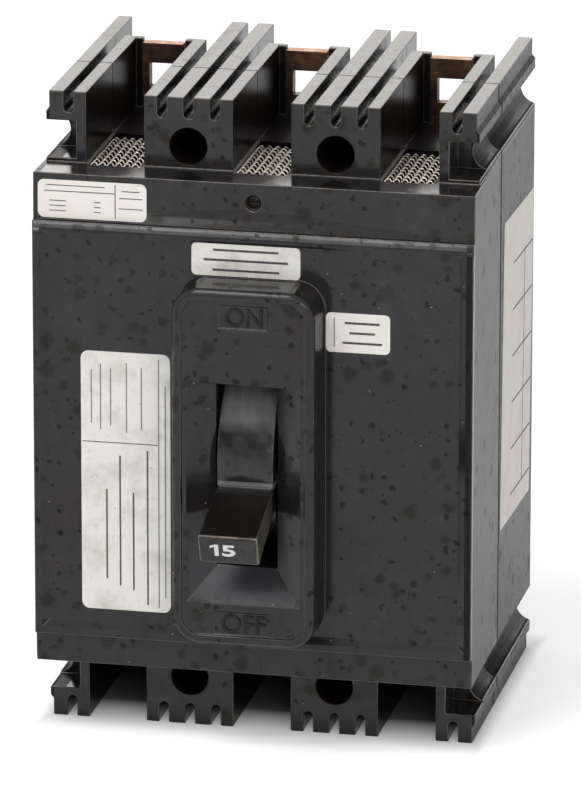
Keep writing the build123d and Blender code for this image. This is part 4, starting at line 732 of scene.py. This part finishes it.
def make_labels():
    """Four labels on the front and a large one on the right side."""
    band = [rule(-2.9, 1.9, 17.0), rule(5.5, 0.0, 8.2, upright=True)]
    for y in (-0.4, -1.6, -2.8):
        band += [rule(-8.2, y, 4.0), rule(1.2, y, 1.6)]
    band += [rule(-4.0, 3.3, 14.0), rule(9.2, 2.6, 4.2), rule(9.2, 0.9, 5.6), rule(9.2, -1.6, 5.8)]
    make_label("band_label", on_front(-38.15, BAND_Y, 53.65), (25.9, 9.15), 1.5, "paper", band)

    upper = [rule(0.0, 2.4, 15.5, BOLD), rule(0.0, 0.0, 20.0, BOLD), rule(0.0, -2.4, 15.8, BOLD)]
    make_label("upper_panel_label", on_front(-1.55, PANEL_Y, 41.3), (25.8, 7.7), 1.1, "foil", upper)

    right = [rule(1.0, 2.4, 8.2, BOLD), rule(1.0, 0.0, 6.0, BOLD), rule(1.0, -2.4, 9.4, BOLD),
             rule(-5.6, 0.0, 7.0, upright=True)]
    make_label("right_panel_label", on_front(25.0, PANEL_Y, 25.5), (15.2, 9.5), 1.2, "paper", right)

    # the tall label is ruled in columns, finer above its cross line, with two long rules at its right edge
    tall = [rule(7.9, 0.0, 61.0, upright=True), rule(-1.4, 9.5, 18.0)]
    for x, length in ((-8.2, 13.0), (-6.0, 16.0), (-3.6, 14.0), (0.2, 17.0), (3.8, 15.0)):
        tall.append(rule(x, 20.6, length, upright=True))
    for x, y, length in ((-4.6, -13.0, 22.0), (-1.4, -9.6, 32.0), (1.8, -14.5, 24.0), (5.2, -11.0, 38.0)):
        tall.append(rule(x, y, length, COLUMN, upright=True))
    tall.append(rule(9.5, -2.0, 52.0, upright=True))
    make_label("tall_panel_label", on_front(-30.3, PANEL_Y, -14.2), (21.4, 63.3), 1.8, "foil", tall)

    # the side label has a ruled grid and is stuck on a little askew
    side = surface(Vector((SIDE_X, -21.8 * MM, 3.3 * MM)), Vector((0, 1, 0)), Vector((0, 0, 1)))
    side = side @ Matrix.Rotation(radians(-2.2), 4, "Z")
    grid = [rule(6.2, y, 25.0, GRID) for y in (25.0, 13.6, 2.2, -9.2, -20.6, -32.0)]
    grid.append(rule(8.6, -3.5, 57.0, DIVIDER, upright=True))
    make_label("side_label", side, (38.2, 75.2), 0.8, "side_paper", grid)


# Words and numbers that such a handle has on any make. A word's weight is the font's own measure.
LETTER_HEIGHT = 4.5 * MM
LETTER_RELIEF = 0.30 * MM
LETTER_WEIGHT = 0.012
FIGURE_HEIGHT = 3.2 * MM
FIGURE_RELIEF = 0.03 * MM
FIVE_WIDTH = 3.2 * MM
FIVE_WEIGHT = 0.03
FIVE_X = 0.05 * MM
ONE_WIDTH = 2.0 * MM
ONE_STEM = 1.0 * MM
ONE_X = -3.3 * MM


def make_word(name, word, place, size, depth, weight, material, body, flanks=None):
    """Raised word on a surface, scaled to a width and a height. Its flanks may have their own finish."""
    curve = bpy.data.curves.new(name, "FONT")
    curve.body = word
    curve.align_x = "CENTER"
    curve.align_y = "CENTER"
    curve.offset = weight
    curve.resolution_u = 6
    text = add_object(name + "_text", curve)
    bpy.context.view_layer.update()
    mesh = bpy.data.meshes.new_from_object(text)
    bpy.data.objects.remove(text)
    width, height = size
    low = Vector((min(v.co.x for v in mesh.vertices), min(v.co.y for v in mesh.vertices), 0.0))
    high = Vector((max(v.co.x for v in mesh.vertices), max(v.co.y for v in mesh.vertices), 0.0))
    middle = (low + high) / 2
    for v in mesh.vertices:
        v.co.x = (v.co.x - middle.x) * width / (high.x - low.x)
        v.co.y = (v.co.y - middle.y) * height / (high.y - low.y)
    shape = bmesh.new()
    shape.from_mesh(mesh)
    bmesh.ops.remove_doubles(shape, verts=shape.verts, dist=0.001 * MM)
    top = bmesh.ops.extrude_face_region(shape, geom=shape.faces[:])["geom"]
    for v in top:
        if isinstance(v, bmesh.types.BMVert):
            v.co.z += depth
    bmesh.ops.recalc_face_normals(shape, faces=shape.faces)
    shape.to_mesh(mesh)
    shape.free()
    for face in mesh.polygons:
        face.use_smooth = False
    obj = add_object(name, mesh)
    bake_place(obj, place)
    mesh.materials.clear()
    mesh.materials.append(MATERIALS[material])
    if flanks:
        mesh.materials.append(MATERIALS[flanks])
        out = (place.to_3x3() @ Vector((0, 0, 1))).normalized()
        for face in mesh.polygons:
            face.material_index = int(abs(face.normal.dot(out)) < 0.5)
    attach(obj, body)


def make_digit_one(place, height, width, stem, depth):
    """Figure one on the handle: an upright stem with a slanted flag at its top left."""
    top, right = height / 2, width / 2
    notch = top - height * 0.27
    outline = [(right, -top), (right, top), (right - stem * 0.8, top), (-right, notch + stem * 0.45),
               (-right, notch - stem * 0.25), (right - stem, notch + stem * 0.3), (right - stem, -top)]
    obj = mesh_object("handle_figure_one", plate_builder([Vector(point) for point in outline], depth))
    bake_place(obj, place)
    obj.data.materials.append(MATERIALS["print"])
    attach(obj, "handle")


def make_words():
    """ON above and OFF below the handle, and its rating on the tip of the knob."""
    words = (("on_letters", "ON", 0.2, 30.7, 8.7 * MM), ("off_letters", "OFF", 0.1, -43.9, 10.6 * MM))
    for name, word, x, z, width in words:
        make_word(name, word, on_front(x, PLAQUE_Y, z), (width, LETTER_HEIGHT), LETTER_RELIEF, LETTER_WEIGHT,
                  "letter", "case", "flank_dirt_and_shade")
    right = Vector((1.0, 0.0, 0.0))
    tip = PIVOT + HANDLE_OUT * KNOB_REACH
    five = surface(tip + FIVE_X * right, right, HANDLE_UP)
    make_word("handle_figure_five", "5", five, (FIVE_WIDTH, FIGURE_HEIGHT), FIGURE_RELIEF, FIVE_WEIGHT,
              "print", "handle")
    one = surface(tip + ONE_X * right, right, HANDLE_UP)
    make_digit_one(one, FIGURE_HEIGHT, ONE_WIDTH, ONE_STEM, FIGURE_RELIEF)


# Gas vent screens: straight wires from front to back, and cross wires that arch and lean back between them
WIRE_RADIUS = 0.21 * MM
RING_SIDES = 8
SCREEN_WIRES = 7
SCREEN_ROWS = 10
SCREEN_INSET = 0.3 * MM
ARCH_HEIGHT = 0.75 * MM
ARCH_LEAN = 0.8 * MM
ARCH_STEPS = 8
CROSS_DROP = 0.1 * MM


def tube(shape, points, radius):
    """Round wire along points, with closed ends."""
    rings = []
    for number, point in enumerate(points):
        before = points[max(number - 1, 0)]
        after = points[min(number + 1, len(points) - 1)]
        along = (after - before).normalized()
        side = along.cross(Vector((0, 0, 1)))
        if side.length < 0.01:
            side = along.cross(Vector((0, 1, 0)))
        side.normalize()
        up = side.cross(along)
        ring = []
        for step in range(RING_SIDES):
            angle = 2 * pi * step / RING_SIDES
            ring.append(shape.verts.new(point + radius * (cos(angle) * side + sin(angle) * up)))
        rings.append(ring)
    for first, second in zip(rings, rings[1:]):
        for step in range(RING_SIDES):
            nxt = (step + 1) % RING_SIDES
            shape.faces.new((first[step], first[nxt], second[nxt], second[step]))
    shape.faces.new(rings[0])
    shape.faces.new(list(reversed(rings[-1])))


def make_screen(pole):
    """Woven screen in place of the plain screen of one pole."""
    node = "vent_screen_" + pole
    low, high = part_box(node)
    level = (low.z + high.z) / 2
    front, back = low.y + SCREEN_INSET, high.y - SCREEN_INSET
    gap = (high.x - low.x - 2 * SCREEN_INSET) / (SCREEN_WIRES - 1)
    row = (back - front) / (SCREEN_ROWS - 1)
    xs = [low.x + SCREEN_INSET + gap * number for number in range(SCREEN_WIRES)]

    def build(shape):
        for x in xs:
            tube(shape, [Vector((x, front, level)), Vector((x, back, level))], WIRE_RADIUS)
        for number in range(SCREEN_ROWS):
            y = front + row * number
            lean = ARCH_LEAN if number < SCREEN_ROWS - 1 else 0.0
            points = []
            for x in xs[:-1]:
                for step in range(ARCH_STEPS):
                    share = step / ARCH_STEPS
                    arch = sin(pi * share)
                    z = level + ARCH_HEIGHT * arch - CROSS_DROP
                    points.append(Vector((x + gap * share, y + lean * arch, z)))
            points.append(Vector((xs[-1], y, level - CROSS_DROP)))
            tube(shape, points, WIRE_RADIUS)
    screen = mesh_object("woven_screen_" + pole, build)
    for face in screen.data.polygons:
        face.use_smooth = True
    screen.data.materials.append(MATERIALS["wire"])
    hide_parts(node)
    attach(screen, "case")


# Studio: white floor, plain world, soft lamps and the camera of the photograph
FLOOR_HALF = 6.0
FLOOR_WHITE = (0.90, 0.90, 0.90)
FLOOR_PAINTED_SHADOW = (0.30, 0.30, 0.30)
FLOOR_LIFT = 0.50
FEET_FRONT = -72.0 * MM
WORLD_LEVEL = 0.42
CAMERA_PLACE = Vector((0.381278, -1.861489, 0.563994))
CAMERA_RIGHT = Vector((0.978741, 0.205100, 0.000994))
CAMERA_UP = Vector((-0.060890, 0.285930, 0.956310))
CAMERA_LENS = 367.74
SENSOR = 36.0

# Where the floor turns from the painted shadow under the feet to white, measured outward from the sides of
# the feet
SHADOW_FADE_X = (-3.0 * MM, 4.0 * MM)
SHADOW_FADE_Y = (-14.0 * MM, 12.0 * MM)


def white_floor(name):
    """Floor that is white for the camera and in reflections, but dark between the feet, in their shade and in
    a painted shadow.
    """
    n = MaterialTree(name)
    n.tree.nodes.remove(n.shader)
    aside = n.math("SUBTRACT", n.away(n.x), FLANK_X)
    ahead = n.math("SUBTRACT", n.away(n.y, FEET_FRONT / 2), -FEET_FRONT / 2)
    clear = n.math("MAXIMUM", n.ramp(aside, *SHADOW_FADE_X), n.ramp(ahead, *SHADOW_FADE_Y))
    diffuse = n.add("ShaderNodeBsdfDiffuse", Color=n.mix(clear, FLOOR_PAINTED_SHADOW, FLOOR_WHITE))
    glow = n.add("ShaderNodeEmission", Color=(1.0, 1.0, 1.0, 1.0),
                 Strength=n.math("MULTIPLY", n.seen(), clear, FLOOR_LIFT))
    total = n.add("ShaderNodeAddShader")
    n.feed(total.inputs[0], diffuse.outputs[0])
    n.feed(total.inputs[1], glow.outputs[0])
    n.feed(n.output.inputs["Surface"], total.outputs[0])
    return n.owner


def make_floor():
    z = CAD_BOX[0].z

    def build(shape):
        corners = [(-FLOOR_HALF, -FLOOR_HALF), (FLOOR_HALF, -FLOOR_HALF), (FLOOR_HALF, FLOOR_HALF),
                   (-FLOOR_HALF, FLOOR_HALF)]
        shape.faces.new([shape.verts.new((x, y, z)) for x, y in corners])
    floor = mesh_object("floor", build)
    floor.data.materials.append(white_floor("floor_white"))


def make_world():
    """Plain light all round, and white behind the object."""
    world = bpy.data.worlds.new("studio")
    bpy.context.scene.world = world
    n = NodeTree(world)
    background = n.tree.nodes["Background"]
    background.inputs["Color"].default_value = (1.0, 1.0, 1.0, 1.0)
    n.feed(background.inputs["Strength"], n.ramp(n.seen(), 0.0, 1.0, WORLD_LEVEL, 1.0))


def make_lamp(name, place, size, power, tint):
    """Soft rectangular lamp that faces the object and isn't seen by the camera."""
    light = bpy.data.lights.new(name, "AREA")
    light.shape = "RECTANGLE"
    light.size, light.size_y = size
    light.energy = power
    light.color = tint
    lamp = add_object(name, light)
    lamp.location = place
    lamp.rotation_euler = (-Vector(place)).to_track_quat("-Z", "Y").to_euler()
    lamp.visible_camera = False
    return lamp


def make_lamps():
    """Three lamps that light the object, and one behind it that only shows as a reflection on its edges."""
    make_lamp("top_lamp", (-0.45, -0.75, 1.7), (0.7, 0.7), 11.0, (0.96, 0.98, 1.0))
    back = make_lamp("back_lamp", (-0.4, 1.9, 0.75), (1.8, 1.1), 8.5, (1.0, 0.96, 0.90))
    back.visible_diffuse = False
    make_lamp("side_lamp", (0.9, -1.9, 1.0), (1.2, 1.0), 9.0, (1.0, 0.99, 0.97))
    make_lamp("front_lamp", (-0.4, -1.4, 1.2), (0.9, 0.8), 5.0, (0.96, 0.98, 1.0))


def make_camera():
    data = bpy.data.cameras.new("camera")
    data.sensor_width = SENSOR
    data.sensor_fit = "AUTO"
    data.lens = CAMERA_LENS
    data.clip_end = 50.0
    camera = add_object("camera", data)
    back = CAMERA_RIGHT.cross(CAMERA_UP)
    turn = Matrix((CAMERA_RIGHT, CAMERA_UP, back)).transposed()
    camera.matrix_world = Matrix.Translation(CAMERA_PLACE) @ turn.to_4x4()
    bpy.context.scene.camera = camera


dress_nodes()
make_labels()
make_words()
for pole in POLES:
    make_screen(pole)
make_floor()
make_world()
make_lamps()
make_camera()
bpy.context.scene.view_settings.view_transform = "Standard"

bpy.context.view_layer.update()
